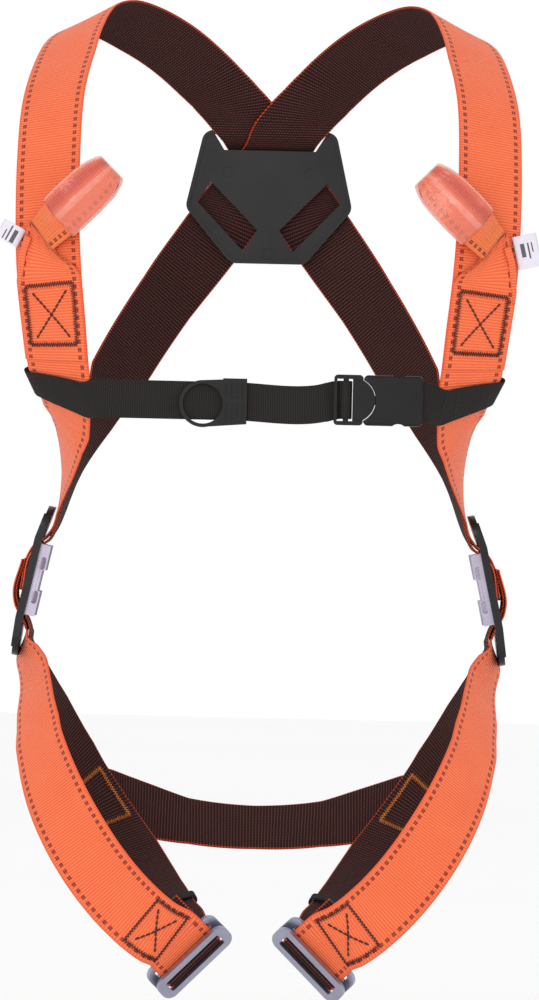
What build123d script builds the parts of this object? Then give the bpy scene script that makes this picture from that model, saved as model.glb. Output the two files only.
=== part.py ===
"""Full-body fall-arrest harness, standing in the air as it is worn, in millimetres.

+Z is up, the wearer faces -Y and +X is the wearer's left. The origin is on the torso axis at
the height of the chest strap. A strap is a list of stations: the middle of the webbing and the
way its outer face looks there. The stations are given for the wearer's left (+X) side.
"""

import math
import os

from build123d import *

os.makedirs("parts", exist_ok=True)

# Webbing
WEB = 45.0  # main webbing width
WEB_T = 1.5  # main webbing thickness
LAYER = 1.6  # pitch of sewn layers at the hips
CHEST_WEB = 25.0  # chest webbing width
CHEST_T = 1.3
LOOP_WEB = 26.0  # webbing of a sternal loop, folded lengthwise
LOOP_T = 2.4
SPAN = 14.0  # longest straight step along a strap

# Hip plates: origin on the outer face, u to the rear, v up along the plate, w outwards
HIP_CENTRE = (154.9, 0.0, -121.0)
HIP_TILT = math.radians(12.4)
PLATE_T = 4.0
PLATE_DEPTH = 68.0
PLATE_TOP, PLATE_FLAT, PLATE_BOTTOM = 49.7, 27.3, -52.0
PLATE_R = 14.0
PLATE_RIM = 1.0
SLOT_V = 23.0  # middle of each strap slot
SLOT_W, SLOT_H = 56.0, 14.0
FRAME_BACK, FRAME_FACE = -6.3, -4.1  # steel channel base, in w
FRAME_U, FRAME_WALL = 30.0, 2.0
FLANGE_IN = -11.0

# Dorsal plate and D-ring
BACK_Y = 110.0  # face against the wearer
BACK_T = 3.0
BACK_RIM = 0.8
BACK_OUTLINE = [(-44.8, 184.3), (44.8, 184.3), (56.7, 131.6), (25.3, 94.2), (-25.3, 94.2), (-56.7, 131.6)]
BACK_SLOT = [(-31.0, 171.0), (31.0, 171.0), (37.5, 181.5), (-37.5, 181.5)]
WINDOW = [(39.4, 149.1), (48.6, 135.7), (16.8, 102.5), (7.6, 117.0)]
DEE_BAR = (0.0, 117.0, 163.0)
DEE_R = 3.5
DEE_HALF = 43.5  # half width to the middle of the stock
DEE_LEG, DEE_ARC = 6.5, 36.5
DEE_HANG = math.radians(40.0)  # off straight down

# Leg buckles: origin in the small frame, X along it, Y up the strap, Z outwards
LEG_CENTRE = (37.4, -104.0, -369.7)
LEG_TILT = math.radians(35.0)
LEG_T = 3.5
LEG_BAR_R = 1.5
SMALL_W, SMALL_H, SMALL_HOLE_W, SMALL_HOLE_H = 60.5, 16.5, 47.0, 8.5
SMALL_BAR_Z = -2.2
LARGE_W, LARGE_H, LARGE_HOLE_W, LARGE_HOLE_H = 60.0, 27.5, 48.0, 20.5
LARGE_Y, LARGE_Z, LARGE_BAR_Y = 1.25, -7.5, 5.7
KEEPER_Z = -337.0
KEEPER_LONG = 10.0

# Sternal loops: s runs from the root along the folded loop to its tip
LOOP_ROOT = (147.5, 104.0)  # x, z
LOOP_Y = -126.5
LOOP_GAP = 11.0  # between the middles of the two legs
SHEATH_START = 18.0
SHEATH_W, SHEATH_WALL, SHEATH_PLAY = 30.4, 0.8, 0.5

# Chest strap, buckle and parking ring
CHEST_Y = -117.0
CHEST_Z = -2.0
HUG = 2.6  # chest webbing to shoulder webbing, middle to middle
BUCKLE_Z = 0.5
BUCKLE_H = 33.0
BUCKLE_D = 12.0
MALE_X, MOUTH_X, FEMALE_X = 45.6, 65.0, 103.7
MOUTH_CENTRE, MOUTH_R = 58.0, 15.0
PRONG_ROOT, PRONG_TIP = 71.2, 91.0
RING_X, RING_Z = -40.0, -4.0
RING_OUT, RING_IN = 15.4, 13.0
RING_FRONT, RING_BACK = -121.2, -118.3
SLEEVE_LEFT, SLEEVE_RIGHT = -27.0, -11.3


# ------------------------------------------------------------------ small vector helpers
def plus(a, b, scale=1.0):
    return tuple(p + scale * q for p, q in zip(a, b))


def dot(a, b):
    return sum(p * q for p, q in zip(a, b))


def unit(a):
    length = math.sqrt(dot(a, a))
    return tuple(p / length for p in a)


def cross(a, b):
    return (a[1] * b[2] - a[2] * b[1], a[2] * b[0] - a[0] * b[2], a[0] * b[1] - a[1] * b[0])


def flip(stations):
    """The same strap on the wearer's right."""
    return [((-s[0][0], s[0][1], s[0][2]), (-s[1][0], s[1][1], s[1][2]), *s[2:]) for s in stations]


def smooth(stations):
    """The same stations with more between them, on one smooth curve, at most SPAN apart."""
    points = [s[0] for s in stations]
    steps = [math.dist(a, b) for a, b in zip(points, points[1:])]
    slopes = [unit(plus(points[1], points[0], -1.0))]
    for i in range(1, len(points) - 1):
        before = plus(points[i], points[i - 1], -1.0)
        after = plus(points[i + 1], points[i], -1.0)
        share = steps[i - 1] / (steps[i - 1] + steps[i])
        slopes.append(plus(plus((0, 0, 0), before, (1 - share) / steps[i - 1]), after, share / steps[i]))
    slopes.append(unit(plus(points[-1], points[-2], -1.0)))
    curve = []
    for i, step in enumerate(steps):
        count = max(1, math.ceil(step / SPAN))
        weights = [s[2] if len(s) > 2 else 0.0 for s in stations[i:i + 2]]
        for k in range(count):
            t = k / count
            point = plus((0, 0, 0), points[i], 2 * t**3 - 3 * t**2 + 1)
            point = plus(point, slopes[i], step * (t**3 - 2 * t**2 + t))
            point = plus(point, points[i + 1], 3 * t**2 - 2 * t**3)
            point = plus(point, slopes[i + 1], step * (t**3 - t**2))
            facing = plus(plus((0, 0, 0), stations[i][1], 1 - t), stations[i + 1][1], t)
            curve.append((point, facing, weights[0] * (1 - t) + weights[1] * t))
    curve.append(stations[-1])
    return curve


def sections(stations, web=WEB):
    """(centre, across, outward, along, width) at every station of a strap.

    A station's third value turns its section from square across the strap (0) to parallel
    with X or Y (1), the way webbing lies where it bends over a straight bar.
    """
    result = []
    last = len(stations) - 1
    for i, station in enumerate(stations):
        along = unit(plus(stations[min(i + 1, last)][0], stations[max(i - 1, 0)][0], -1.0))
        outward = unit(plus(station[1], along, -dot(station[1], along)))
        square = cross(along, outward)
        level = station[2] if len(station) > 2 else 0.0
        sideways = abs(square[0]) > abs(square[1])
        bar = (math.copysign(1.0, square[0]), 0, 0) if sideways else (0, math.copysign(1.0, square[1]), 0)
        across = unit(plus(square, bar, level / (1.001 - level)))
        outward = unit(cross(across, along))
        width = web / dot(across, cross(along, outward))
        result.append((station[0], across, outward, cross(outward, across), width))
    return result


def ribbon_sections(stations, web=WEB):
    """(plane, width) of every cross-section of a strap."""
    return [(Plane(origin=c, x_dir=a, z_dir=t), w) for c, a, _, t, w in sections(stations, web)]


def section_at(stations, height):
    """The section of a strap nearest to a height."""
    return min(sections(stations), key=lambda s: abs(s[0][2] - height))


def hip(u, v, w):
    """A point given in the hip plate's own directions."""
    return (
        HIP_CENTRE[0] - v * math.sin(HIP_TILT) + w * math.cos(HIP_TILT),
        HIP_CENTRE[1] + u,
        HIP_CENTRE[2] + v * math.cos(HIP_TILT) + w * math.sin(HIP_TILT),
    )


def leg(x, y, z):
    """A point given in the leg buckle's own directions: along it, up the strap, outwards."""
    return plus(plus(plus(LEG_CENTRE, LEG_LONG_WAY, x), LEG_UP, y), LEG_OUT, z)


def turned(local, frame):
    """A direction given in a (x, y, z) frame."""
    return plus(plus(plus((0, 0, 0), frame[0], local[0]), frame[1], local[1]), frame[2], local[2])


def loop(s, y):
    """A point s along a sternal loop, at a given y."""
    return (LOOP_ROOT[0] - 0.706 * s, y, LOOP_ROOT[1] + 0.708 * s)


R2 = math.sqrt(0.5)
LEG_LONG_WAY = (R2, 0.0, -R2)
LEG_UP = (R2 * math.cos(LEG_TILT), -math.sin(LEG_TILT), R2 * math.cos(LEG_TILT))
LEG_OUT = cross(LEG_LONG_WAY, LEG_UP)
LEG_FRAME = (LEG_LONG_WAY, LEG_UP, LEG_OUT)
HIP_OUT = (math.cos(HIP_TILT), 0.0, math.sin(HIP_TILT))
HIP_UP = (-math.sin(HIP_TILT), 0.0, math.cos(HIP_TILT))
LOOP_ALONG = (-0.706, 0.0, 0.708)

# ------------------------------------------------------------------ strap routes
# Shoulder strap, wearer's left: hip plate, chest, shoulder, dorsal plate, right hip plate.
HIP_START = [
    (hip(3, -9, LAYER + 0.95), HIP_OUT, 1.0),
    (hip(1, 16.5, LAYER + 0.95), HIP_OUT, 1.0),
    (hip(0, 20.5, 1.2), (0.98, 0, 0.6), 1.0),
    (hip(-1, 28.5, -5.6), (0.98, 0, 0.6), 1.0),
    (hip(-4, 33, -7.9), (0.98, 0, 0.3), 1.0),
]
CHEST_RUN = [
    (hip(-14, 49, -9.5), (0.98, 0, 0.1), 0.8),
    ((132.4, -30, -60), (1.0, 0.0, -0.07), 0.5),
    ((129.6, -58, -34), (0.92, -0.26, -0.30), 0.2),
    ((130.6, -84, -9), (0.66, -0.55, -0.50)),
    ((135.0, -103, 16), (0.42, -0.84, -0.34)),
    ((138.5, -110, 45), (0.38, -0.92, 0.0)),
    ((143.0, -111, 85), (0.32, -0.95, 0.03)),
    ((144.8, -106, 124), (0.36, -0.90, 0.24)),
    ((145.0, -97, 152), (0.36, -0.84, 0.38)),
    ((143.0, -73, 197), (0.38, -0.70, 0.58)),
    ((137.0, -45, 224), (0.38, -0.55, 0.72)),
    ((130.5, -20, 242), (0.41, -0.28, 0.87)),
    ((121.0, 0, 252.5), (0.43, 0.02, 0.90)),
    ((106.0, 21, 254.0), (0.40, 0.32, 0.86)),
    ((87.0, 41, 247.5), (0.30, 0.58, 0.77)),
    ((66.0, 62, 236), (0.16, 0.74, 0.66)),
    ((47.0, 81, 221), (0.05, 0.82, 0.57)),
    ((31.0, 94, 205.6), (0, 0.86, 0.51)),
]
# Behind the plate both straps follow one surface with level rulings: (x, y, z, tilt of its normal
# above the horizontal in degrees). Through the top slot, round the D-ring bar, down the plate.
CROSSING = [
    (17.0, 103.2, 190.0, 27),
    (12.2, 106.0, 183.0, 28),
    (9.8, 107.9, 179.4, 38),
    (7.6, 111.5, 176.0, 46.9),
    (4.6, 116.5, 171.3, 46.9),
    (1.7, 121.5, 166.65, 46.9),
    (0.6, 122.7, 165.0, 23.5),
    (-0.7, 123.1, 163.0, 0),
    (-2.1, 122.7, 161.0, -23.5),
    (-3.3, 121.5, 159.35, -46.9),
    (-6.0, 117.8, 155.8, -44),
    (-8.8, 115.8, 152.3, -20),
    (-13.5, 115.5, 146.0, 0),
]
BACK_RUN = [
    ((-28.0, 115.5, 125.8), (0, 1, 0)),
    ((-40.0, 115.0, 109.0), (-0.10, 1, 0)),
    ((-68.0, 108, 69.5), (-0.45, 0.87, 0.0)),
    ((-91.5, 88, 31), (-0.60, 0.80, -0.10)),
    ((-112.0, 61, -9), (-0.83, 0.55, -0.07), 0.2),
    ((-125.0, 38, -42), (-0.93, 0.34, 0.0), 0.5),
    ((-131.6, 15, -75), (-0.96, 0.2, 0.1), 0.8),
]
HIP_END = [
    (hip(4, 33, -10.6), (0.98, 0, 0.3), 1.0),
    (hip(1, 28, -8.3), (0.98, 0, 0.6), 1.0),
    (hip(0, 19.7, -0.6), (0.98, 0, 0.6), 1.0),
    (hip(-1, 16.2, 0.95), HIP_OUT, 1.0),
    (hip(-3, -8, 0.95), HIP_OUT, 1.0),
]
CROSSING_GAP = -1.0  # the left strap lies this far off the shared surface, towards the wearer

# Thigh straps, wearer's left: hip plate to leg buckle, in front and behind.
FRONT_START = [
    (hip(-1, 11, 3 * LAYER + 0.95), HIP_OUT, 1.0),
    (hip(-1, -13.5, 3 * LAYER + 0.95), HIP_OUT, 1.0),
    (hip(-1, -19.5, 3.2), (0.98, 0, -0.2), 1.0),
    (hip(-2, -28.2, -4.6), (0.98, 0, -0.2), 1.0),
    (hip(-5, -33, -7.6), (0.98, 0, 0.1), 1.0),
]
FRONT_RUN = [
    (hip(-15, -50, -8.2), (0.98, -0.15, 0.1), 0.8),
    ((150.0, -26, -185), (0.9, -0.38, 0.2), 0.55),
    ((149.0, -40, -202), (0.86, -0.46, 0.22), 0.3),
    ((142.5, -66, -233), (0.74, -0.62, 0.24)),
    ((129.5, -90, -267), (0.52, -0.80, 0.20)),
    ((115.5, -101, -292), (0.33, -0.93, 0.12)),
    ((99.5, -109, -314.5), (0.2, -0.97, 0.05)),
    ((79.5, -114, -336), (0.1, -1, 0.0)),
    (leg(3, 31.0, -7.7), (0.0, -1, -0.12)),
]
FRONT_WRAP = [
    (22.0, -5.6, 0, 1),
    (15.5, -4.7, 0, 1),
    (8.7, -4.85, 0, 1),
    (6.0, -5.0, 0, 1),
    (3.9, -5.8, -0.7, 0.7),
    (3.2, -7.5, -1, 0),
    (3.9, -9.2, -0.7, -0.7),
    (6.0, -10.05, 0, -1),
    (15.0, -10.4, 0, -1),
    (23.0, -9.6, 0, -1),
    (30.0, -10.9, 0.3, -1),
    (38.0, -15.6, 0.6, -1),
]
REAR_START = [
    (hip(1, 12, 2 * LAYER + 0.95), HIP_OUT, 1.0),
    (hip(1, -12.5, 2 * LAYER + 0.95), HIP_OUT, 1.0),
    (hip(1, -18, 1.9), (0.98, 0, -0.2), 1.0),
    (hip(2, -27, -6.9), (0.98, 0, -0.2), 1.0),
    (hip(5, -33, -10.2), (0.98, 0, 0.1), 1.0),
]
REAR_RUN = [
    (hip(16, -50, -12.4), (0.98, 0.1, 0.1), 0.8),
    ((147.4, 28, -184), (0.95, 0.27, 0.0), 0.5),
    ((136.0, 52, -214), (0.75, 0.65, -0.2), 0.2),
    ((122.5, 72, -246), (0.5, 0.8, -0.35)),
    ((104.0, 80, -278), (0.25, 0.8, -0.6)),
    ((86.0, 62, -304), (-0.02, 0.72, -0.69)),
    ((70.0, 22, -325), (-0.05, 0.4, -0.9)),
    ((58.5, -30, -342), (-0.3, 0.35, -0.88)),
    ((48.5, -66, -354), (-0.62, 0.32, -0.70)),
]
REAR_WRAP = [
    (-1.4, -18, -1, 0),
    (1.4, -8, -1, 0),
    (2.4, -4.6, -1, 0),
    (2.55, -2.2, -1, 0),
    (1.8, -0.4, -0.7, -0.7),
    (0, 0.35, 0, -1),
    (-1.8, -0.4, 0.7, -0.7),
    (-2.55, -2.2, 1, 0),
    (-2.8, -4.6, 1, 0),
    (-3.6, -8, 1, 0),
    (-4.2, -18, 1, 0),
    (-7.6, -31, 1, 0),
]
SEAT_HALF = [
    ((0.0, 112, -288.5), (0.0, 0.62, -0.785)),
    ((45.0, 108, -285), (0.05, 0.66, -0.75)),
    ((78.0, 99.5, -277), (0.25, 0.80, -0.55)),
    ((98.0, 89.5, -271.5), (0.39, 0.84, -0.38)),
    ((118.0, 80.0, -266), (0.45, 0.82, -0.33)),
]


def crossing(side):
    """The shared surface with one strap just off it. The left strap is nearer the wearer."""
    stations = []
    for x, y, z, tilt in CROSSING:
        normal = (0.0, math.cos(math.radians(tilt)), math.sin(math.radians(tilt)))
        stations.append((plus((x, y, z), normal, side * CROSSING_GAP), normal, 1.0))
    return stations


def shoulder_route(side):
    """The whole shoulder strap of one side."""
    before = plus(CHEST_RUN[-1][0], CHEST_RUN[-1][1], side * CROSSING_GAP)
    after = plus(BACK_RUN[0][0], BACK_RUN[0][1], side * CROSSING_GAP)
    front = smooth(CHEST_RUN[:-1] + [(before, CHEST_RUN[-1][1], 0.5)])
    back = smooth([(after, BACK_RUN[0][1], 0.5)] + BACK_RUN[1:])
    route = HIP_START + front + crossing(side) + back + flip(HIP_END)
    return route if side > 0 else flip(route)


def wrap(rows):
    """Stations round a leg buckle bar: up the strap, outwards, and the facing in the same two."""
    return [(leg(0, y, z), turned((0, fy, fz), LEG_FRAME)) for y, z, fy, fz in rows]


FRONT_ROUTE = FRONT_START + smooth(FRONT_RUN + wrap(FRONT_WRAP[:1])) + wrap(FRONT_WRAP[1:])
REAR_ROUTE = REAR_START + smooth(REAR_RUN + wrap(REAR_WRAP[:1])) + wrap(REAR_WRAP[1:])
SEAT_ROUTE = smooth(flip(SEAT_HALF)[:0:-1] + SEAT_HALF)

# The sewn flap below a sternal loop lies on the shoulder strap.
FLAP_ROUTE = [
    (plus(c, n, LAYER), n)
    for c, _, n, _, _ in sections(shoulder_route(1))
    if c[1] < -90 and 26 < c[2] < 98
]
LOOP_FRONT, LOOP_BACK = LOOP_Y - LOOP_GAP / 2, LOOP_Y + LOOP_GAP / 2
LOOP_OUT = [
    (loop(0, -114.8), (0.36, -1, 0)),
    (loop(6, -118.6), (0.36, -1, 0)),
    (loop(12, -125.2), (0.17, -1, 0)),
    (loop(SHEATH_START, LOOP_FRONT + 0.3), (0, -1, 0)),
]
LOOP_TIP = [
    (
        loop(56 + LOOP_GAP / 2 * math.sin(turn), LOOP_Y - LOOP_GAP / 2 * math.cos(turn)),
        (-0.706 * math.sin(turn), -math.cos(turn), 0.708 * math.sin(turn)),
    )
    for turn in (math.radians(30 * i) for i in range(7))
]
LOOP_BACK_RUN = [
    (loop(SHEATH_START, LOOP_BACK - 0.1), (0, 1, 0)),
    (loop(12, -118.6), (-0.17, 1, 0)),
    (loop(6, -114.0), (-0.36, 1, 0)),
    (loop(0, -111.7), (-0.36, 1, 0)),
]
LOOP_ROUTE = LOOP_OUT + LOOP_TIP + LOOP_BACK_RUN
SHEATH_ROUTE = [LOOP_OUT[-1]] + LOOP_TIP + [LOOP_BACK_RUN[0]]

CHEST_LOW = section_at(shoulder_route(1), -9)
CHEST_HIGH = section_at(shoulder_route(1), 16)


def hug(p, q):
    """Where chest webbing crosses a shoulder strap: p across that strap, q off its middle."""
    low = plus(CHEST_LOW[0], CHEST_LOW[1], p)
    high = plus(CHEST_HIGH[0], CHEST_HIGH[1], p)
    up = unit(plus(high, low, -1.0))
    normal = plus(CHEST_LOW[2], CHEST_HIGH[2])
    normal = unit(plus(normal, up, -dot(normal, up)))
    middle = plus(low, plus(high, low, -1.0), 0.5)
    return plus(middle, normal, q), normal


def hug_round():
    """Chest webbing over a shoulder strap, round its outer edge and back behind it."""
    over = [hug(p, HUG + q) for p, q in ((-22, 2.0), (-11, 0.8), (0, 0.3), (11, 0.2), (20, 0))]
    edge = [hug(24.6, 1.7), hug(25.8, 0), hug(24.6, -1.7)]
    outer = unit(plus(hug(26, 0)[0], hug(0, 0)[0], -1.0))
    edge = [(edge[0][0], plus(edge[0][1], outer)), (edge[1][0], outer),
            (edge[2][0], plus(outer, edge[2][1], -1.0))]
    under = [(point, plus((0, 0, 0), normal, -1.0)) for point, normal in
             (hug(p, -HUG) for p in (20, 11, 0, -11, -22))]
    return over + edge + under


TAB_ROUTE = [
    ((109.5, -106.6, 0), (-0.6, 0.8, 0)),
    ((106.5, -110.0, 0), (-0.5, 0.85, 0)),
    ((103, -112.3, BUCKLE_Z), (-0.2, 1, 0)),
    ((99, -112.55, BUCKLE_Z), (0, 1, 0)),
    ((96.9, -113.4, BUCKLE_Z), (-0.7, 0.7, 0)),
    ((96.05, -115.5, BUCKLE_Z), (-1, 0, 0)),
    ((96.9, -117.6, BUCKLE_Z), (-0.7, -0.7, 0)),
    ((99, -118.45, BUCKLE_Z), (0, -1, 0)),
    ((103.5, -118.2, BUCKLE_Z), (0.15, -1, 0)),
    ((109, -114.4, -1), (0.5, -0.85, 0)),
] + hug_round()
CHEST_ROUTE = [
    ((38, CHEST_Y + 1.8, CHEST_Z), (0, 1, 0)),
    ((49, CHEST_Y + 2.0, BUCKLE_Z), (0, 1, 0)),
    ((55.0, CHEST_Y + 1.9, BUCKLE_Z), (0.2, 1, 0)),
    ((56.6, CHEST_Y + 0.6, BUCKLE_Z), (1, 0.2, 0)),
    ((56.6, CHEST_Y - 1.6, BUCKLE_Z), (1, -0.2, 0)),
    ((55.0, CHEST_Y - 2.9, BUCKLE_Z), (0.2, -1, 0)),
    ((51.6, CHEST_Y - 2.9, BUCKLE_Z), (-0.2, -1, 0)),
    ((50.1, CHEST_Y - 1.6, BUCKLE_Z), (-0.8, -0.6, 0)),
    ((48.4, CHEST_Y, BUCKLE_Z), (-0.2, -1, 0)),
    ((38, CHEST_Y, CHEST_Z), (0, -1, 0)),
    ((-20, CHEST_Y, CHEST_Z), (0, -1, 0)),
    ((-92, CHEST_Y, CHEST_Z), (0, -1, 0)),
    ((-102, CHEST_Y + 1.0, CHEST_Z), (-0.2, -1, 0)),
    ((-109, CHEST_Y + 4.0, -1.5), (-0.5, -0.85, 0)),
] + flip(hug_round()) + [
    ((-105.5, -109.9, -1), (-0.5, 0.85, 0)),
    ((-100, -113.6, CHEST_Z), (-0.2, 1, 0)),
    ((-93, CHEST_Y + 1.8, CHEST_Z), (0, 1, 0)),
]

# ------------------------------------------------------------------ webbing
for side, name in ((1, "left"), (-1, "right")):
    with BuildPart() as shoulder_strap:
        for plane, width in ribbon_sections(shoulder_route(side)):
            with BuildSketch(plane):
                Rectangle(width, WEB_T)
        loft(ruled=True)
    shoulder_strap.part.label = f"shoulder_strap_{name}"
    export_step(shoulder_strap.part, f"parts/shoulder_strap_{name}.step")

for node, route in (("thigh_strap_front", FRONT_ROUTE), ("thigh_strap_rear", REAR_ROUTE)):
    for name, stations in (("left", route), ("right", flip(route))):
        with BuildPart() as thigh_strap:
            for plane, width in ribbon_sections(stations):
                with BuildSketch(plane):
                    Rectangle(width, WEB_T)
            loft(ruled=True)
        thigh_strap.part.label = f"{node}_{name}"
        export_step(thigh_strap.part, f"parts/{node}_{name}.step")

for side, name in ((1, "left"), (-1, "right")):
    with BuildPart() as chest_flap:
        for plane, width in ribbon_sections(FLAP_ROUTE if side > 0 else flip(FLAP_ROUTE)):
            with BuildSketch(plane):
                Rectangle(width, WEB_T)
        loft(ruled=True)
    chest_flap.part.label = f"chest_flap_{name}"
    export_step(chest_flap.part, f"parts/chest_flap_{name}.step")

    with BuildPart() as sternal_loop:
        for plane, width in ribbon_sections(LOOP_ROUTE if side > 0 else flip(LOOP_ROUTE), LOOP_WEB):
            with BuildSketch(plane):
                Rectangle(width, LOOP_T)
        loft(ruled=True)
    sternal_loop.part.label = f"sternal_loop_{name}"
    export_step(sternal_loop.part, f"parts/sternal_loop_{name}.step")

for name, route in (("left", TAB_ROUTE), ("right", CHEST_ROUTE)):
    with BuildPart() as chest_strap:
        for plane, width in ribbon_sections(route, CHEST_WEB):
            with BuildSketch(plane):
                Rectangle(width, CHEST_T)
        loft(ruled=True)
    chest_strap.part.label = f"chest_strap_{name}"
    export_step(chest_strap.part, f"parts/chest_strap_{name}.step")

with BuildPart() as seat_strap:
    for plane, width in ribbon_sections(SEAT_ROUTE):
        with BuildSketch(plane):
            Rectangle(width, WEB_T)
    loft(ruled=True)
seat_strap.part.label = "seat_strap"
export_step(seat_strap.part, "parts/seat_strap.step")

# ------------------------------------------------------------------ sheaths, keepers, labels
for side, name in ((1, "left"), (-1, "right")):
    with BuildPart() as sheath:
        route = ribbon_sections(SHEATH_ROUTE if side > 0 else flip(SHEATH_ROUTE), SHEATH_W)
        for plane, width in route:
            with BuildSketch(plane):
                Rectangle(width, LOOP_T + 2 * (SHEATH_PLAY + SHEATH_WALL))
        loft(ruled=True)
        for plane, width in route:
            with BuildSketch(plane):
                Rectangle(width - 2 * SHEATH_WALL, LOOP_T + 2 * SHEATH_PLAY)
        loft(ruled=True, mode=Mode.SUBTRACT)
    sheath.part.label = f"loop_sheath_{name}"
    export_step(sheath.part, f"parts/loop_sheath_{name}.step")

keeper_c, keeper_a, keeper_n, keeper_t, _ = section_at(REAR_ROUTE[8:-4], KEEPER_Z)
with BuildPart() as keeper:
    with BuildSketch(Plane(origin=plus(keeper_c, keeper_t, -KEEPER_LONG / 2), x_dir=keeper_a, z_dir=keeper_t)):
        RectangleRounded(WEB + 4.8, WEB_T + 5.0, 2.0)
        Rectangle(WEB + 2.4, WEB_T + 2.8, mode=Mode.SUBTRACT)
    extrude(amount=KEEPER_LONG)
keeper.part.label = "strap_keeper_left"
export_step(keeper.part, "parts/strap_keeper_left.step")
with BuildPart() as keeper_right:
    mirror(keeper.part, about=Plane.YZ)
keeper_right.part.label = "strap_keeper_right"
export_step(keeper_right.part, "parts/strap_keeper_right.step")

# Labels: middle, direction of the long side, long side, short side
for name, middle, long_way, size in (
    ("left", (170.1, -106.2, 100.6), (0.23, 0, -0.97), (22.0, 15.7)),
    ("right", (-168.3, -106.2, 104.8), (0.47, 0, 0.88), (13.0, 16.0)),
):
    with BuildPart() as label_tag:
        with BuildSketch(Plane(origin=middle, x_dir=long_way, z_dir=(0, -1, 0))):
            RectangleRounded(size[0], size[1], 0.8)
        extrude(amount=0.5)
    label_tag.part.label = f"label_{name}"
    export_step(label_tag.part, f"parts/label_{name}.step")

# ------------------------------------------------------------------ dorsal plate and D-ring
back_plane = Plane(origin=(0, BACK_Y, 0), x_dir=(-1, 0, 0), z_dir=(0, 1, 0))
with BuildPart() as dorsal_plate:
    with BuildSketch(back_plane.offset(-BACK_RIM)) as outline:
        with BuildLine():
            Polyline(*BACK_OUTLINE, close=True)
        make_face()
        fillet(outline.vertices(), 8.0)
    extrude(amount=BACK_T + BACK_RIM)
    with BuildSketch(back_plane.offset(-BACK_RIM)) as pocket:
        with BuildLine():
            Polyline(*BACK_OUTLINE, close=True)
        make_face()
        fillet(pocket.vertices(), 8.0)
        offset(amount=-2.5, mode=Mode.REPLACE)
    extrude(amount=BACK_RIM, mode=Mode.SUBTRACT)
    with BuildSketch(back_plane):
        with BuildLine():
            Polyline(*BACK_SLOT, close=True)
        make_face()
        for side in (1, -1):
            with BuildLine():
                Polyline(*[(side * x, z) for x, z in WINDOW], close=True)
            make_face()
    extrude(amount=BACK_T, mode=Mode.SUBTRACT)
    with BuildSketch(back_plane):
        with Locations((-28, 155.5), (28, 155.5), (0, 101)):
            Circle(4.0)
    extrude(amount=0.6, mode=Mode.SUBTRACT)
dorsal_plate.part.label = "dorsal_plate"
export_step(dorsal_plate.part, "parts/dorsal_plate.step")

dee_plane = Plane(origin=DEE_BAR, x_dir=(1, 0, 0), z_dir=(0, math.cos(DEE_HANG), math.sin(DEE_HANG)))
corner = DEE_LEG * (1 - R2)
with BuildPart() as dee:
    with BuildLine(dee_plane) as dee_path:
        Line((DEE_LEG - DEE_HALF, 0), (DEE_HALF - DEE_LEG, 0))
        ThreePointArc((DEE_HALF - DEE_LEG, 0), (DEE_HALF - corner, corner), (DEE_HALF, DEE_LEG))
        EllipticalCenterArc((0, DEE_LEG), DEE_HALF, DEE_ARC, start_angle=0, arc_size=180)
        ThreePointArc((-DEE_HALF, DEE_LEG), (corner - DEE_HALF, corner), (DEE_LEG - DEE_HALF, 0))
    with BuildSketch(Plane(origin=DEE_BAR, z_dir=(1, 0, 0))):
        Circle(DEE_R)
    sweep(path=dee_path.wires()[0])
dee.part.label = "dorsal_d_ring"
export_step(dee.part, "parts/dorsal_d_ring.step")

# ------------------------------------------------------------------ hip plates
hip_plane = Plane(origin=HIP_CENTRE, x_dir=(0, 1, 0), z_dir=HIP_OUT)
hip_side = Plane(origin=HIP_CENTRE, x_dir=HIP_UP, z_dir=(0, 1, 0))
plate_profile = [(PLATE_TOP, -3.15), (PLATE_FLAT, 0), (-PLATE_FLAT, 0), (PLATE_BOTTOM, -2.0)]
with BuildPart() as side_plate:
    with BuildSketch(hip_side.offset(-PLATE_DEPTH / 2)):
        with BuildLine():
            Polyline(*plate_profile, *[(v, w - PLATE_T) for v, w in plate_profile[::-1]], close=True)
        make_face()
    extrude(amount=PLATE_DEPTH)
    with BuildSketch(hip_side.offset(-PLATE_DEPTH / 2)):
        with BuildLine():
            Polyline(*[(v, w + PLATE_RIM) for v, w in plate_profile], *plate_profile[::-1], close=True)
        make_face()
    extrude(amount=3.0)
    with BuildSketch(hip_side.offset(PLATE_DEPTH / 2 - 3.0)):
        with BuildLine():
            Polyline(*[(v, w + PLATE_RIM) for v, w in plate_profile], *plate_profile[::-1], close=True)
        make_face()
    extrude(amount=3.0)
    with BuildSketch(hip_plane.offset(-12.0)):
        with Locations((0, (PLATE_TOP + PLATE_BOTTOM) / 2)):
            RectangleRounded(PLATE_DEPTH, PLATE_TOP - PLATE_BOTTOM, PLATE_R)
    extrude(amount=16.0, mode=Mode.INTERSECT)
    with BuildSketch(hip_plane.offset(-12.0)):
        with Locations((0, SLOT_V), (0, -SLOT_V)):
            RectangleRounded(SLOT_W, SLOT_H, 3.0)
    extrude(amount=16.0, mode=Mode.SUBTRACT)
side_plate.part.label = "side_plate_left"
export_step(side_plate.part, "parts/side_plate_left.step")
with BuildPart() as side_plate_right:
    mirror(side_plate.part, about=Plane.YZ)
side_plate_right.part.label = "side_plate_right"
export_step(side_plate_right.part, "parts/side_plate_right.step")

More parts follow.
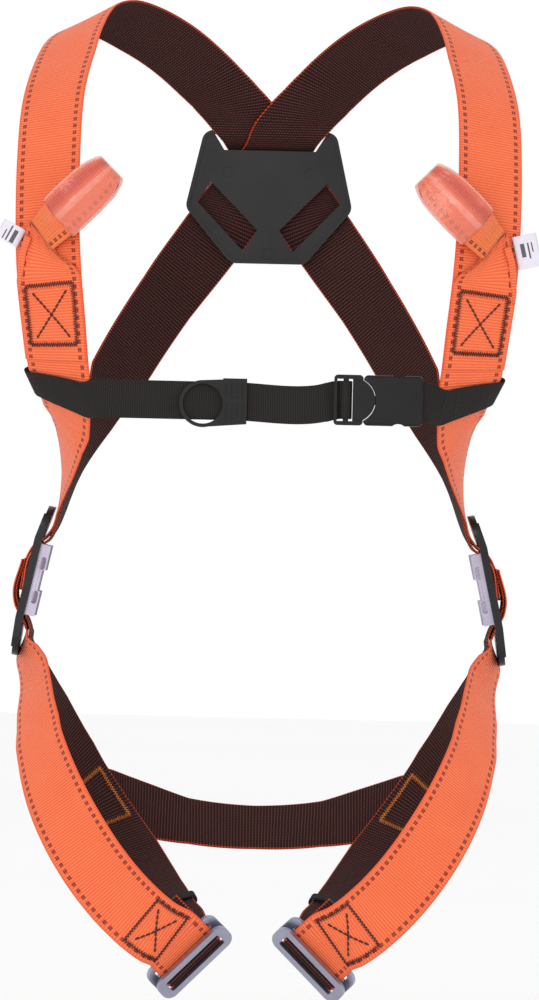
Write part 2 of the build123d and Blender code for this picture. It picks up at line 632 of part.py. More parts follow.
with BuildPart() as side_frame:
    with BuildSketch(hip_plane.offset(FRAME_BACK)):
        Rectangle(2 * FRAME_U, 30.0)
    extrude(amount=FRAME_FACE - FRAME_BACK)
    with BuildSketch(hip_plane.offset(FLANGE_IN)):
        with Locations((FRAME_U - FRAME_WALL / 2, 0), (FRAME_WALL / 2 - FRAME_U, 0)):
            Rectangle(FRAME_WALL, 48.0)
    extrude(amount=FRAME_FACE - FLANGE_IN)
    with BuildSketch(hip_side.offset(-FRAME_U - 1)):
        with Locations((11.5, -8.2), (-11.5, -8.2)):
            SlotOverall(8.5, 3.6)
    extrude(amount=FRAME_WALL + 2, mode=Mode.SUBTRACT)
    with BuildSketch(hip_side.offset(-FRAME_U - 1)):
        with Locations((0, FLANGE_IN)):
            Rectangle(14.0, 4.0)
    extrude(amount=2 * FRAME_U + 2, mode=Mode.SUBTRACT)
side_frame.part.label = "side_frame_left"
export_step(side_frame.part, "parts/side_frame_left.step")
with BuildPart() as side_frame_right:
    mirror(side_frame.part, about=Plane.YZ)
side_frame_right.part.label = "side_frame_right"
export_step(side_frame_right.part, "parts/side_frame_right.step")

# ------------------------------------------------------------------ leg buckles
leg_plane = Plane(origin=LEG_CENTRE, x_dir=LEG_LONG_WAY, z_dir=LEG_OUT)
for node, size, hole, middle_y, middle_z, bar in (
    ("leg_buckle_front", (SMALL_W, SMALL_H), (SMALL_HOLE_W, SMALL_HOLE_H), 0.0, 0.0, (0.0, SMALL_BAR_Z)),
    ("leg_buckle_rear", (LARGE_W, LARGE_H), (LARGE_HOLE_W, LARGE_HOLE_H), LARGE_Y, LARGE_Z, (LARGE_BAR_Y, LARGE_Z)),
):
    with BuildPart() as leg_frame:
        with BuildSketch(leg_plane.offset(middle_z - LEG_T / 2)):
            with Locations((0, middle_y)):
                RectangleRounded(*size, 7.0)
                RectangleRounded(*hole, 1.5, mode=Mode.SUBTRACT)
        extrude(amount=LEG_T)
        with BuildSketch(Plane(origin=leg(-hole[0] / 2 - 1, *bar), z_dir=LEG_LONG_WAY)):
            Circle(LEG_BAR_R)
        extrude(amount=hole[0] + 2)
    leg_frame.part.label = f"{node}_left"
    export_step(leg_frame.part, f"parts/{node}_left.step")
    with BuildPart() as leg_frame_right:
        mirror(leg_frame.part, about=Plane.YZ)
    leg_frame_right.part.label = f"{node}_right"
    export_step(leg_frame_right.part, f"parts/{node}_right.step")

# ------------------------------------------------------------------ chest buckle
# Drawn looking along +Y: sketch X is world X, sketch Y is world Z.
front_plane = Plane(origin=(0, CHEST_Y + BUCKLE_D / 2, BUCKLE_Z), x_dir=(1, 0, 0), z_dir=(0, -1, 0))
with BuildPart() as female:
    with BuildSketch(front_plane):
        with Locations(((MOUTH_X + FEMALE_X) / 2, 0)):
            RectangleRounded(FEMALE_X - MOUTH_X, BUCKLE_H, 3.0)
    extrude(amount=BUCKLE_D)
    fillet(female.edges().filter_by(Axis.X), 2.0)
    with BuildSketch(front_plane.offset(2.8)):
        with Locations(((MOUTH_X + 92.5) / 2 - 5, 0)):
            Rectangle(92.5 - MOUTH_X + 10, 26.4)
    extrude(amount=BUCKLE_D - 5.6, mode=Mode.SUBTRACT)
    with BuildSketch(front_plane):
        with Locations((MOUTH_CENTRE, 0)):
            Circle(MOUTH_R)
        with Locations((88, 21), (88, -21)):
            Circle(6.0)
        with Locations((99.5, 0)):
            Rectangle(10.0, 26.8)
    extrude(amount=BUCKLE_D, mode=Mode.SUBTRACT)
    with BuildSketch(front_plane.offset(4.0)):
        with Locations((87.5, 0)):
            Rectangle(8.0, 2 * BUCKLE_H)
    extrude(amount=4.0, mode=Mode.SUBTRACT)
    with BuildSketch(front_plane.offset(BUCKLE_D - 2.6)):
        with Locations((98.7, 0)):
            Rectangle(10.0, BUCKLE_H - 4)
    extrude(amount=2.6)
    with BuildSketch(Plane(origin=(99, CHEST_Y + 1.5, BUCKLE_Z - 14), z_dir=(0, 0, 1))):
        Circle(2.0)
    extrude(amount=28.0)
    with BuildSketch(front_plane.offset(BUCKLE_D)):
        with Locations(*[(96.2 + 2.7 * i, 3.6 * (j - 3) + 1.2 * (i % 2)) for i in range(3) for j in range(7)]):
            Circle(0.7)
    extrude(amount=0.4)
female.part.label = "buckle_female"
export_step(female.part, "parts/buckle_female.step")

with BuildPart() as male:
    with BuildSketch(front_plane.offset(1.9)):
        with Locations(((MALE_X + 66.5) / 2 - 0.9, 0)):
            RectangleRounded(64.7 - MALE_X, BUCKLE_H, 2.5)
        with Locations((52.7, 0)):
            Rectangle(10.2, 27.6, mode=Mode.SUBTRACT)
    extrude(amount=BUCKLE_D - 3.8)
    with BuildSketch(front_plane.offset(1.8)):
        with Locations((46.6, 0)):
            Rectangle(4.0, 27.6)
    extrude(amount=5.6, mode=Mode.SUBTRACT)
    with BuildSketch(front_plane.offset(5.3)):
        with Locations((53.4, 0)):
            Rectangle(3.6, 28.0)
    extrude(amount=2.6)
    with BuildSketch(front_plane.offset(0.6)) as tongue:
        with Locations((MOUTH_CENTRE, 0)):
            Circle(MOUTH_R - 0.4)
        with Locations((68.7, 0)):
            Rectangle(20.0, 25.6, mode=Mode.INTERSECT)
    extrude(amount=BUCKLE_D - 1.2)
    with BuildSketch(front_plane.offset(4.4)):
        with Locations((78, 0)):
            Rectangle(14.0, 6.0)
    extrude(amount=3.2)
    with BuildSketch(front_plane.offset(BUCKLE_D - 0.6)):
        with Locations((69, 5), (69, 0), (69, -5)):
            Circle(1.1)
    extrude(amount=0.5)
male.part.label = "buckle_male"
export_step(male.part, "parts/buckle_male.step")

for side, name in ((1, "upper"), (-1, "lower")):
    with BuildPart() as prong:
        with BuildSketch(front_plane.offset(4.0)):
            with BuildLine():
                Polyline(
                    (PRONG_ROOT, side * 8.6),
                    (PRONG_ROOT, side * 12.2),
                    (82.0, side * 11.6),
                    (83.0, side * 12.8),
                    (89.0, side * 12.8),
                    (PRONG_TIP, side * 9.6),
                    (88.0, side * 8.6),
                    close=True,
                )
            make_face()
        extrude(amount=4.0)
    prong.part.label = f"buckle_prong_{name}"
    export_step(prong.part, f"parts/buckle_prong_{name}.step")

# ------------------------------------------------------------------ parking ring
ring_plane = Plane(origin=(0, RING_BACK, 0), x_dir=(1, 0, 0), z_dir=(0, -1, 0))
with BuildPart() as ring:
    with BuildSketch(ring_plane):
        with Locations((RING_X, RING_Z)):
            Circle(RING_OUT)
        with BuildLine():
            Polyline(
                (RING_X, RING_Z + RING_OUT),
                (SLEEVE_RIGHT, CHEST_Z + 14.9),
                (SLEEVE_RIGHT, CHEST_Z - 14.9),
                (RING_X + 4, RING_Z - RING_OUT + 0.5),
                close=True,
            )
        make_face()
        with Locations((RING_X, RING_Z)):
            Circle(RING_IN, mode=Mode.SUBTRACT)
    extrude(amount=RING_BACK - RING_FRONT)
    with BuildSketch(ring_plane.offset(-3.9)):
        with Locations(((SLEEVE_LEFT + SLEEVE_RIGHT) / 2, CHEST_Z)):
            Rectangle(SLEEVE_RIGHT - SLEEVE_LEFT, 29.8)
    extrude(amount=3.9)
    with BuildSketch(ring_plane.offset(-2.6)):
        with Locations(((SLEEVE_LEFT + SLEEVE_RIGHT) / 2, CHEST_Z)):
            Rectangle(SLEEVE_RIGHT - SLEEVE_LEFT + 2, 26.2)
    extrude(amount=2.6, mode=Mode.SUBTRACT)
    with BuildSketch(ring_plane.offset(RING_BACK - RING_FRONT - 1.0)):
        with Locations(*[(-24.3 + 3.5 * i, CHEST_Z + side * 6.6) for i in range(4) for side in (1, -1)]):
            Rectangle(1.7, 10.0)
    extrude(amount=1.0, mode=Mode.SUBTRACT)
ring.part.label = "parking_ring"
export_step(ring.part, "parts/parking_ring.step")
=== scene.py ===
"""The look of a full-body fall-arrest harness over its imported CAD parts.

Lengths in the tables are millimetres in the harness's own frame: +Z up, the wearer faces -Y, +X is
the wearer's left. Meshes are made in metres. Webbing is built as ribbons along lists of stations.
"""

import math
import random

import bpy
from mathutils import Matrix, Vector


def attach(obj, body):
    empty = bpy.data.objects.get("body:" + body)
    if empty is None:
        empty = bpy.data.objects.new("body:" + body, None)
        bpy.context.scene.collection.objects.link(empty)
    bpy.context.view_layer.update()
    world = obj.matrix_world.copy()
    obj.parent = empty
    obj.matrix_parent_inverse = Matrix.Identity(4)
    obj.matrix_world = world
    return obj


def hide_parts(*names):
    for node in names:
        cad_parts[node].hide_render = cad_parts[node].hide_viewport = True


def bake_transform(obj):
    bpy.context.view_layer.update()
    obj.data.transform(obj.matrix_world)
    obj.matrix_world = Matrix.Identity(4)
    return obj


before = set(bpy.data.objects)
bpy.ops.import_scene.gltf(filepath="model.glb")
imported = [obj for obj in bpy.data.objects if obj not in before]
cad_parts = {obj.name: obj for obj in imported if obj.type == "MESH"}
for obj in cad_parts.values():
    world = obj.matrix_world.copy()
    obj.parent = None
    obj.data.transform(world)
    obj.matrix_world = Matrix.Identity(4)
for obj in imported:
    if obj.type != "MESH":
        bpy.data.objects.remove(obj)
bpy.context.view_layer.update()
random.seed(7)

MM = 0.001
UV_MM = 100.0  # a strap's UV map holds its width and length in tenths of a metre
WEB, WEB_T = 45.0, 1.5
LAYER = 1.6  # from the middle of one strap to the middle of the next one on it
CHEST_WEB, CHEST_T = 25.0, 1.3
LOOP_WEB, LOOP_T = 26.0, 2.4
SHEATH_WEB = 29.6  # the width of the clear sheath
RUN_GAP = 1.0  # each shoulder strap lies this far off the surface that the two share
FLOOR_Z = -0.43  # in metres
THREAD_RADIUS, FINE_THREAD_RADIUS = 0.75, 0.35

HIP_CENTRE = Vector((154.9, 0.0, -121.0))
HIP_TILT = math.radians(12.4)
HIP_OUT = Vector((math.cos(HIP_TILT), 0, math.sin(HIP_TILT)))
HIP_UP = Vector((-math.sin(HIP_TILT), 0, math.cos(HIP_TILT)))

R2 = math.sqrt(0.5)
LEG_CENTRE = Vector((37.4, -104.0, -369.7))
LEG_TILT = math.radians(35.0)
LEG_LONG_WAY = Vector((R2, 0, -R2))
LEG_UP = Vector((R2 * math.cos(LEG_TILT), -math.sin(LEG_TILT), R2 * math.cos(LEG_TILT)))
LEG_OUT = LEG_LONG_WAY.cross(LEG_UP)

LOOP_ROOT = (147.5, 104.0)
LOOP_WAY = (-0.706, 0.708)  # inwards and upwards, for each millimetre along a loop
LOOP_Y, LOOP_GAP = -126.5, 11.0
TIP_START = 56.0
CHEST_Y, CHEST_Z, BUCKLE_Z = -117.0, -2.0, 0.5
HUG = 2.6  # from the middle of a shoulder strap to the middle of the chest webbing on it


# ------------------------------------------------------------------ strap stations
def hip(u, v, w):
    """A point in the hip plate's own directions: to the rear, up the plate, outwards."""
    return HIP_CENTRE + Vector((0, u, 0)) + v * HIP_UP + w * HIP_OUT


def leg(x, y, z):
    """A point in the leg buckle's own directions: along it, up the strap, outwards."""
    return LEG_CENTRE + x * LEG_LONG_WAY + y * LEG_UP + z * LEG_OUT


def loop(s, y):
    """A point s along a sternal loop, at a given y."""
    return Vector((LOOP_ROOT[0] + LOOP_WAY[0] * s, y, LOOP_ROOT[1] + LOOP_WAY[1] * s))


def stations(rows):
    """Stations as (point, facing, level) with vectors in them."""
    return [(Vector(row[0]), Vector(row[1]), row[2] if len(row) > 2 else 0.0) for row in rows]


def flip(rows):
    """The same stations on the wearer's other side."""
    mirror = Vector((-1, 1, 1))
    return [(p * mirror, n * mirror, level) for p, n, level in rows]


def slopes_of(points):
    """Slopes of a smooth curve through the points, for steps of one unit of length."""
    steps = [(b - a).length for a, b in zip(points, points[1:])]
    slopes = [(points[1] - points[0]).normalized()]
    for i in range(1, len(points) - 1):
        share = steps[i - 1] / (steps[i - 1] + steps[i])
        before = (points[i] - points[i - 1]) * ((1 - share) / steps[i - 1])
        after = (points[i + 1] - points[i]) * (share / steps[i])
        slopes.append(before + after)
    slopes.append((points[-1] - points[-2]).normalized())
    return steps, slopes


def hermite(a, b, slope_a, slope_b, step, t):
    """A point at t on the smooth curve from a to b."""
    return (
        a * (2 * t**3 - 3 * t**2 + 1)
        + slope_a * (step * (t**3 - 2 * t**2 + t))
        + b * (3 * t**2 - 2 * t**3)
        + slope_b * (step * (t**3 - t**2))
    )


def smooth(rows, span=14.0):
    """The same stations with more between them, on one smooth curve, at most span apart."""
    rows = stations(rows)
    points = [row[0] for row in rows]
    steps, slopes = slopes_of(points)
    curve = []
    for i, step in enumerate(steps):
        count = max(1, math.ceil(step / span))
        for k in range(count):
            t = k / count
            point = hermite(points[i], points[i + 1], slopes[i], slopes[i + 1], step, t)
            level = rows[i][2] * (1 - t) + rows[i + 1][2] * t
            curve.append((point, rows[i][1].lerp(rows[i + 1][1], t), level))
    curve.append(rows[-1])
    return curve


class Ribbon:
    """A strap: its stations, and any point on it by length, offset across and height."""

    def __init__(self, rows, web=WEB, thickness=WEB_T, step=2.5):
        rows = stations(rows)
        self.web, self.thickness = web, thickness
        last = len(rows) - 1
        coarse = []
        for i, (point, facing, level) in enumerate(rows):
            along = (rows[min(i + 1, last)][0] - rows[max(i - 1, 0)][0]).normalized()
            outward = (facing - along * facing.dot(along)).normalized()
            square = along.cross(outward)
            if abs(square.x) > abs(square.y):
                bar = Vector((math.copysign(1, square.x), 0, 0))
            else:
                bar = Vector((0, math.copysign(1, square.y), 0))
            across = (square + bar * (level / (1.001 - level))).normalized()
            outward = across.cross(along).normalized()
            width = web / across.dot(along.cross(outward))
            coarse.append((point, across, outward, width))
        points = [row[0] for row in coarse]
        steps, slopes = slopes_of(points)
        self.rows = []
        length = 0.0
        for i, gap in enumerate(steps):
            count = max(2, math.ceil(gap / step))
            for k in range(count):
                t = k / count
                point = hermite(points[i], points[i + 1], slopes[i], slopes[i + 1], gap, t)
                across = coarse[i][1].lerp(coarse[i + 1][1], t).normalized()
                outward = coarse[i][2].lerp(coarse[i + 1][2], t).normalized()
                width = coarse[i][3] * (1 - t) + coarse[i + 1][3] * t
                if self.rows:
                    length += (point - self.rows[-1][0]).length
                self.rows.append((point, across, outward, width, length))
        length += (points[-1] - self.rows[-1][0]).length
        self.rows.append((*coarse[-1], length))
        self.length = length

    def row(self, s):
        """The section at a length s along the strap."""
        s = min(max(s, 0.0), self.length)
        low, high = 0, len(self.rows) - 1
        while high - low > 1:
            middle = (low + high) // 2
            if self.rows[middle][4] <= s:
                low = middle
            else:
                high = middle
        a, b = self.rows[low], self.rows[high]
        t = (s - a[4]) / max(b[4] - a[4], 1e-9)
        return (
            a[0].lerp(b[0], t),
            a[1].lerp(b[1], t).normalized(),
            a[2].lerp(b[2], t).normalized(),
            a[3] * (1 - t) + b[3] * t,
        )

    def at(self, s, v, h=0.0):
        """The point s along, v across and h off the middle of the strap."""
        point, across, outward, width = self.row(s)
        return point + across * (v * width / self.web) + outward * h

    def part(self, start, end, web, thickness):
        """A wider or narrower ribbon along the same line, from one length to another."""
        other = Ribbon.__new__(Ribbon)
        other.web, other.thickness = web, thickness
        scale = web / self.web
        kept = [row for row in self.rows if start <= row[4] <= end]
        other.rows = [(*row[:3], row[3] * scale, row[4] - start) for row in kept]
        other.length = other.rows[-1][4]
        return other

    def nearest(self, target, start=0.0, end=1e9):
        """The length at which the strap's middle passes nearest to a point."""
        target = Vector(target)
        rows = [row for row in self.rows if start <= row[4] <= end]
        return min(rows, key=lambda row: (row[0] - target).length)[4]


HIP_START = [
    (hip(3, -9, LAYER + 0.95), HIP_OUT, 1.0),
    (hip(1, 16.5, LAYER + 0.95), HIP_OUT, 1.0),
    (hip(0, 20.5, 1.2), (0.98, 0, 0.6), 1.0),
    (hip(-1, 28.5, -5.6), (0.98, 0, 0.6), 1.0),
    (hip(-4, 33, -7.9), (0.98, 0, 0.3), 1.0),
]
CHEST_RUN = [
    (hip(-14, 49, -9.5), (0.98, 0, 0.1), 0.8),
    ((132.4, -30, -60), (1.0, 0.0, -0.07), 0.5),
    ((129.6, -58, -34), (0.92, -0.26, -0.30), 0.2),
    ((130.6, -84, -9), (0.66, -0.55, -0.50)),
    ((135.0, -103, 16), (0.42, -0.84, -0.34)),
    ((138.5, -110, 45), (0.38, -0.92, 0.0)),
    ((143.0, -111, 85), (0.32, -0.95, 0.03)),
    ((144.8, -106, 124), (0.36, -0.90, 0.24)),
    ((145.0, -97, 152), (0.36, -0.84, 0.38)),
    ((143.0, -73, 197), (0.38, -0.70, 0.58)),
    ((137.0, -45, 224), (0.38, -0.55, 0.72)),
    ((130.5, -20, 242), (0.41, -0.28, 0.87)),
    ((121.0, 0, 252.5), (0.43, 0.02, 0.90)),
    ((106.0, 21, 254.0), (0.40, 0.32, 0.86)),
    ((87.0, 41, 247.5), (0.30, 0.58, 0.77)),
    ((66.0, 62, 236), (0.16, 0.74, 0.66)),
    ((47.0, 81, 221), (0.05, 0.82, 0.57)),
    ((31.0, 94, 205.6), (0, 0.86, 0.51)),
]
# Through the dorsal plate's slot and round the D-ring: x, y, z and the tilt of the facing in degrees.
CROSSING = [
    (17.0, 103.2, 190.0, 27),
    (12.2, 106.0, 183.0, 28),
    (9.8, 107.9, 179.4, 38),
    (7.6, 111.5, 176.0, 46.9),
    (4.6, 116.5, 171.3, 46.9),
    (1.7, 121.5, 166.65, 46.9),
    (0.6, 122.7, 165.0, 23.5),
    (-0.7, 123.1, 163.0, 0),
    (-2.1, 122.7, 161.0, -23.5),
    (-3.3, 121.5, 159.35, -46.9),
    (-6.0, 117.8, 155.8, -44),
    (-8.8, 115.8, 152.3, -20),
    (-13.5, 115.5, 146.0, 0),
]
BACK_RUN = [
    ((-28.0, 115.5, 125.8), (0, 1, 0)),
    ((-40.0, 115.0, 109.0), (-0.10, 1, 0)),
    ((-68.0, 108, 69.5), (-0.45, 0.87, 0.0)),
    ((-91.5, 88, 31), (-0.60, 0.80, -0.10)),
    ((-112.0, 61, -9), (-0.83, 0.55, -0.07), 0.2),
    ((-125.0, 38, -42), (-0.93, 0.34, 0.0), 0.5),
    ((-133.0, 15, -75), (-0.96, 0.2, 0.1), 0.8),
]
HIP_END = [
    (hip(4, 33, -9.8), (0.98, 0, 0.3), 1.0),
    (hip(1, 28, -8.3), (0.98, 0, 0.6), 1.0),
    (hip(0, 19.7, -0.6), (0.98, 0, 0.6), 1.0),
    (hip(-1, 16.2, 0.95), HIP_OUT, 1.0),
    (hip(-3, -8, 0.95), HIP_OUT, 1.0),
]
FRONT_START = [
    (hip(-1, 11, 3 * LAYER + 0.95), HIP_OUT, 1.0),
    (hip(-1, -13.5, 3 * LAYER + 0.95), HIP_OUT, 1.0),
    (hip(-1, -19.5, 3.2), (0.98, 0, -0.2), 1.0),
    (hip(-2, -28.2, -4.6), (0.98, 0, -0.2), 1.0),
    (hip(-5, -33, -7.6), (0.98, 0, 0.1), 1.0),
]
FRONT_RUN = [
    (hip(-15, -47, -8.4), (0.94, -0.34, 0.1), 0.5),
    ((149.2, -28, -184), (0.86, -0.48, 0.2), 0.3),
    ((147.6, -41, -201), (0.83, -0.52, 0.22), 0.1),
    ((142.5, -66, -233), (0.74, -0.62, 0.24)),
    ((129.5, -90, -267), (0.52, -0.80, 0.20)),
    ((115.5, -101, -292), (0.33, -0.93, 0.12)),
    ((99.5, -109, -314.5), (0.2, -0.97, 0.05)),
    ((79.5, -114, -336), (0.1, -1, 0.0)),
    (leg(3, 31.0, -7.7), (0.0, -1, -0.12)),
]
# Round the leg buckles: up the strap, outwards, and the facing in the same two directions.
FRONT_WRAP = [
    (22.0, -5.6, 0, 1),
    (15.5, -4.7, 0, 1),
    (8.7, -4.85, 0, 1),
    (6.0, -5.0, 0, 1),
    (3.9, -5.8, -0.7, 0.7),
    (3.2, -7.5, -1, 0),
    (3.9, -9.2, -0.7, -0.7),
    (6.0, -10.05, 0, -1),
    (15.0, -10.4, 0, -1),
    (23.0, -9.6, 0, -1),
    (30.0, -10.9, 0.3, -1),
    (38.0, -15.6, 0.6, -1),
]
REAR_START = [
    (hip(1, 12, 2 * LAYER + 0.95), HIP_OUT, 1.0),
    (hip(1, -12.5, 2 * LAYER + 0.95), HIP_OUT, 1.0),
    (hip(1, -18, 1.9), (0.98, 0, -0.2), 1.0),
    (hip(2, -27, -6.9), (0.98, 0, -0.2), 1.0),
    (hip(5, -33, -10.2), (0.98, 0, 0.1), 1.0),
]
REAR_RUN = [
    (hip(16, -48, -11.8), (0.96, 0.22, 0.1), 0.6),
    ((147.4, 28, -184), (0.95, 0.27, 0.0), 0.5),
    ((136.0, 52, -214), (0.75, 0.65, -0.2), 0.2),
    ((122.5, 72, -246), (0.5, 0.8, -0.35)),
    ((104.0, 80, -278), (0.25, 0.8, -0.6)),
    ((86.0, 62, -304), (-0.02, 0.72, -0.69)),
    ((70.0, 22, -325), (-0.05, 0.4, -0.9)),
    ((58.5, -30, -342), (-0.3, 0.35, -0.88)),
    ((48.5, -66, -354), (-0.62, 0.32, -0.70)),
]
REAR_WRAP = [
    (-1.4, -18, -1, 0),
    (1.4, -8, -1, 0),
    (2.4, -4.6, -1, 0),
    (2.55, -2.2, -1, 0),
    (1.8, -0.4, -0.7, -0.7),
    (0, 0.35, 0, -1),
    (-1.8, -0.4, 0.7, -0.7),
    (-2.55, -2.2, 1, 0),
    (-2.8, -4.6, 1, 0),
    (-3.6, -8, 1, 0),
    (-4.2, -18, 1, 0),
    (-7.6, -31, 1, 0),
]
SEAT_HALF = [
    ((0.0, 112, -288.5), (0.0, 0.62, -0.785)),
    ((45.0, 108, -285), (0.05, 0.66, -0.75)),
    ((78.0, 99.5, -277), (0.25, 0.80, -0.55)),
    ((98.0, 89.5, -271.5), (0.39, 0.84, -0.38)),
    ((118.0, 80.0, -266), (0.45, 0.82, -0.33)),
]


def shoulder_route(side):
    """The whole shoulder strap that starts at one hip; the left one lies nearer the wearer."""
    chest, back = stations(CHEST_RUN), stations(BACK_RUN)
    gap = -side * RUN_GAP
    front = smooth(chest[:-1] + [(chest[-1][0] + chest[-1][1] * gap, chest[-1][1], 0.5)])
    middle = []
    for x, y, z, tilt in CROSSING:
        normal = Vector((0, math.cos(math.radians(tilt)), math.sin(math.radians(tilt))))
        middle.append((Vector((x, y, z)) + normal * gap, normal, 1.0))
    rear = smooth([(back[0][0] + back[0][1] * gap, back[0][1], 0.5)] + back[1:])
    route = stations(HIP_START) + front + middle + rear + flip(stations(HIP_END))
    return route if side > 0 else flip(route)


def wrap(rows):
    """Stations round a leg buckle bar."""
    return [(leg(0, y, z), LEG_UP * fy + LEG_OUT * fz, 0.0) for y, z, fy, fz in rows]


FRONT_ROUTE = stations(FRONT_START) + smooth(FRONT_RUN + wrap(FRONT_WRAP[:1])) + wrap(FRONT_WRAP[1:])
REAR_ROUTE = stations(REAR_START) + smooth(REAR_RUN + wrap(REAR_WRAP[:1])) + wrap(REAR_WRAP[1:])
SEAT_ROUTE = smooth(flip(stations(SEAT_HALF))[:0:-1] + stations(SEAT_HALF))

LOOP_FRONT, LOOP_BACK = LOOP_Y - LOOP_GAP / 2, LOOP_Y + LOOP_GAP / 2
LOOP_OUT = [
    (loop(0, -114.8), (0.36, -1, 0)),
    (loop(6, -118.6), (0.36, -1, 0)),
    (loop(12, -125.2), (0.17, -1, 0)),
    (loop(18, LOOP_FRONT + 0.3), (0, -1, 0)),
]
LOOP_TIP = [
    (
        loop(TIP_START + LOOP_GAP / 2 * math.sin(turn), LOOP_Y - LOOP_GAP / 2 * math.cos(turn)),
        (LOOP_WAY[0] * math.sin(turn), -math.cos(turn), LOOP_WAY[1] * math.sin(turn)),
    )
    for turn in (math.radians(30 * i) for i in range(7))
]
LOOP_IN = [
    (loop(18, LOOP_BACK - 0.1), (0, 1, 0)),
    (loop(12, -118.6), (-0.17, 1, 0)),
    (loop(6, -114.0), (-0.36, 1, 0)),
    (loop(0, -111.7), (-0.36, 1, 0)),
]
LOOP_ROUTE = stations(LOOP_OUT + LOOP_TIP + LOOP_IN)

shoulder = {side: Ribbon(shoulder_route(side)) for side in (1, -1)}


def chest_section(height):
    """The left shoulder strap's section at a height, in front."""
    in_front = [row for row in shoulder[1].rows if row[0].y < -60]
    return min(in_front, key=lambda row: abs(row[0].z - height))


CHEST_LOW, CHEST_HIGH = chest_section(-9), chest_section(16)


def hug(p, q):
    """Where chest webbing crosses a shoulder strap: p across that strap, q off its middle."""
    low = CHEST_LOW[0] + CHEST_LOW[1] * p
    high = CHEST_HIGH[0] + CHEST_HIGH[1] * p
    up = (high - low).normalized()
    normal = CHEST_LOW[2] + CHEST_HIGH[2]
    normal = (normal - up * normal.dot(up)).normalized()
    return low.lerp(high, 0.5) + normal * q, normal


def hug_round():
    """Chest webbing over a shoulder strap, round its outer edge and back behind it."""
    over = [hug(p, HUG + q) for p, q in ((-22, 2.0), (-11, 0.8), (0, 0.3), (11, 0.2), (20, 0))]
    edge = [hug(24.6, 1.7), hug(25.8, 0), hug(24.6, -1.7)]
    outer = (hug(26, 0)[0] - hug(0, 0)[0]).normalized()
    edge = [(edge[0][0], edge[0][1] + outer), (edge[1][0], outer), (edge[2][0], outer - edge[2][1])]
    under = [(point, -normal) for point, normal in (hug(p, -HUG) for p in (20, 11, 0, -11, -22))]
    return stations(over + edge + under)


TAB_ROUTE = stations([
    ((109.5, -106.6, 0), (-0.6, 0.8, 0)),
    ((106.5, -110.0, 0), (-0.5, 0.85, 0)),
    ((103, -112.3, BUCKLE_Z), (-0.2, 1, 0)),
    ((99, -112.55, BUCKLE_Z), (0, 1, 0)),
    ((96.9, -113.4, BUCKLE_Z), (-0.7, 0.7, 0)),
    ((96.05, -115.5, BUCKLE_Z), (-1, 0, 0)),
    ((96.9, -117.6, BUCKLE_Z), (-0.7, -0.7, 0)),
    ((99, -118.45, BUCKLE_Z), (0, -1, 0)),
    ((103.5, -118.2, BUCKLE_Z), (0.15, -1, 0)),
    ((109, -114.4, -1), (0.5, -0.85, 0)),
]) + hug_round()
CHEST_ROUTE = stations([
    ((38, CHEST_Y + 1.8, CHEST_Z), (0, 1, 0)),
    ((49, CHEST_Y + 2.0, BUCKLE_Z), (0, 1, 0)),
    ((55.0, CHEST_Y + 1.9, BUCKLE_Z), (0.2, 1, 0)),
    ((56.6, CHEST_Y + 0.6, BUCKLE_Z), (1, 0.2, 0)),
    ((56.6, CHEST_Y - 1.6, BUCKLE_Z), (1, -0.2, 0)),
    ((55.0, CHEST_Y - 2.9, BUCKLE_Z), (0.2, -1, 0)),
    ((51.6, CHEST_Y - 2.9, BUCKLE_Z), (-0.2, -1, 0)),
    ((50.1, CHEST_Y - 1.6, BUCKLE_Z), (-0.8, -0.6, 0)),
    ((48.4, CHEST_Y, BUCKLE_Z), (-0.2, -1, 0)),
    ((38, CHEST_Y, CHEST_Z), (0, -1, 0)),
    ((-20, CHEST_Y, CHEST_Z), (0, -1, 0)),
    ((-92, CHEST_Y, CHEST_Z), (0, -1, 0)),
    ((-102, CHEST_Y + 1.0, CHEST_Z), (-0.2, -1, 0)),
    ((-109, CHEST_Y + 4.0, -1.5), (-0.5, -0.85, 0)),
]) + flip(hug_round()) + stations([
    ((-105.5, -109.9, -1), (-0.5, 0.85, 0)),
    ((-100, -113.6, CHEST_Z), (-0.2, 1, 0)),
    ((-93, CHEST_Y + 1.8, CHEST_Z), (0, 1, 0)),
])


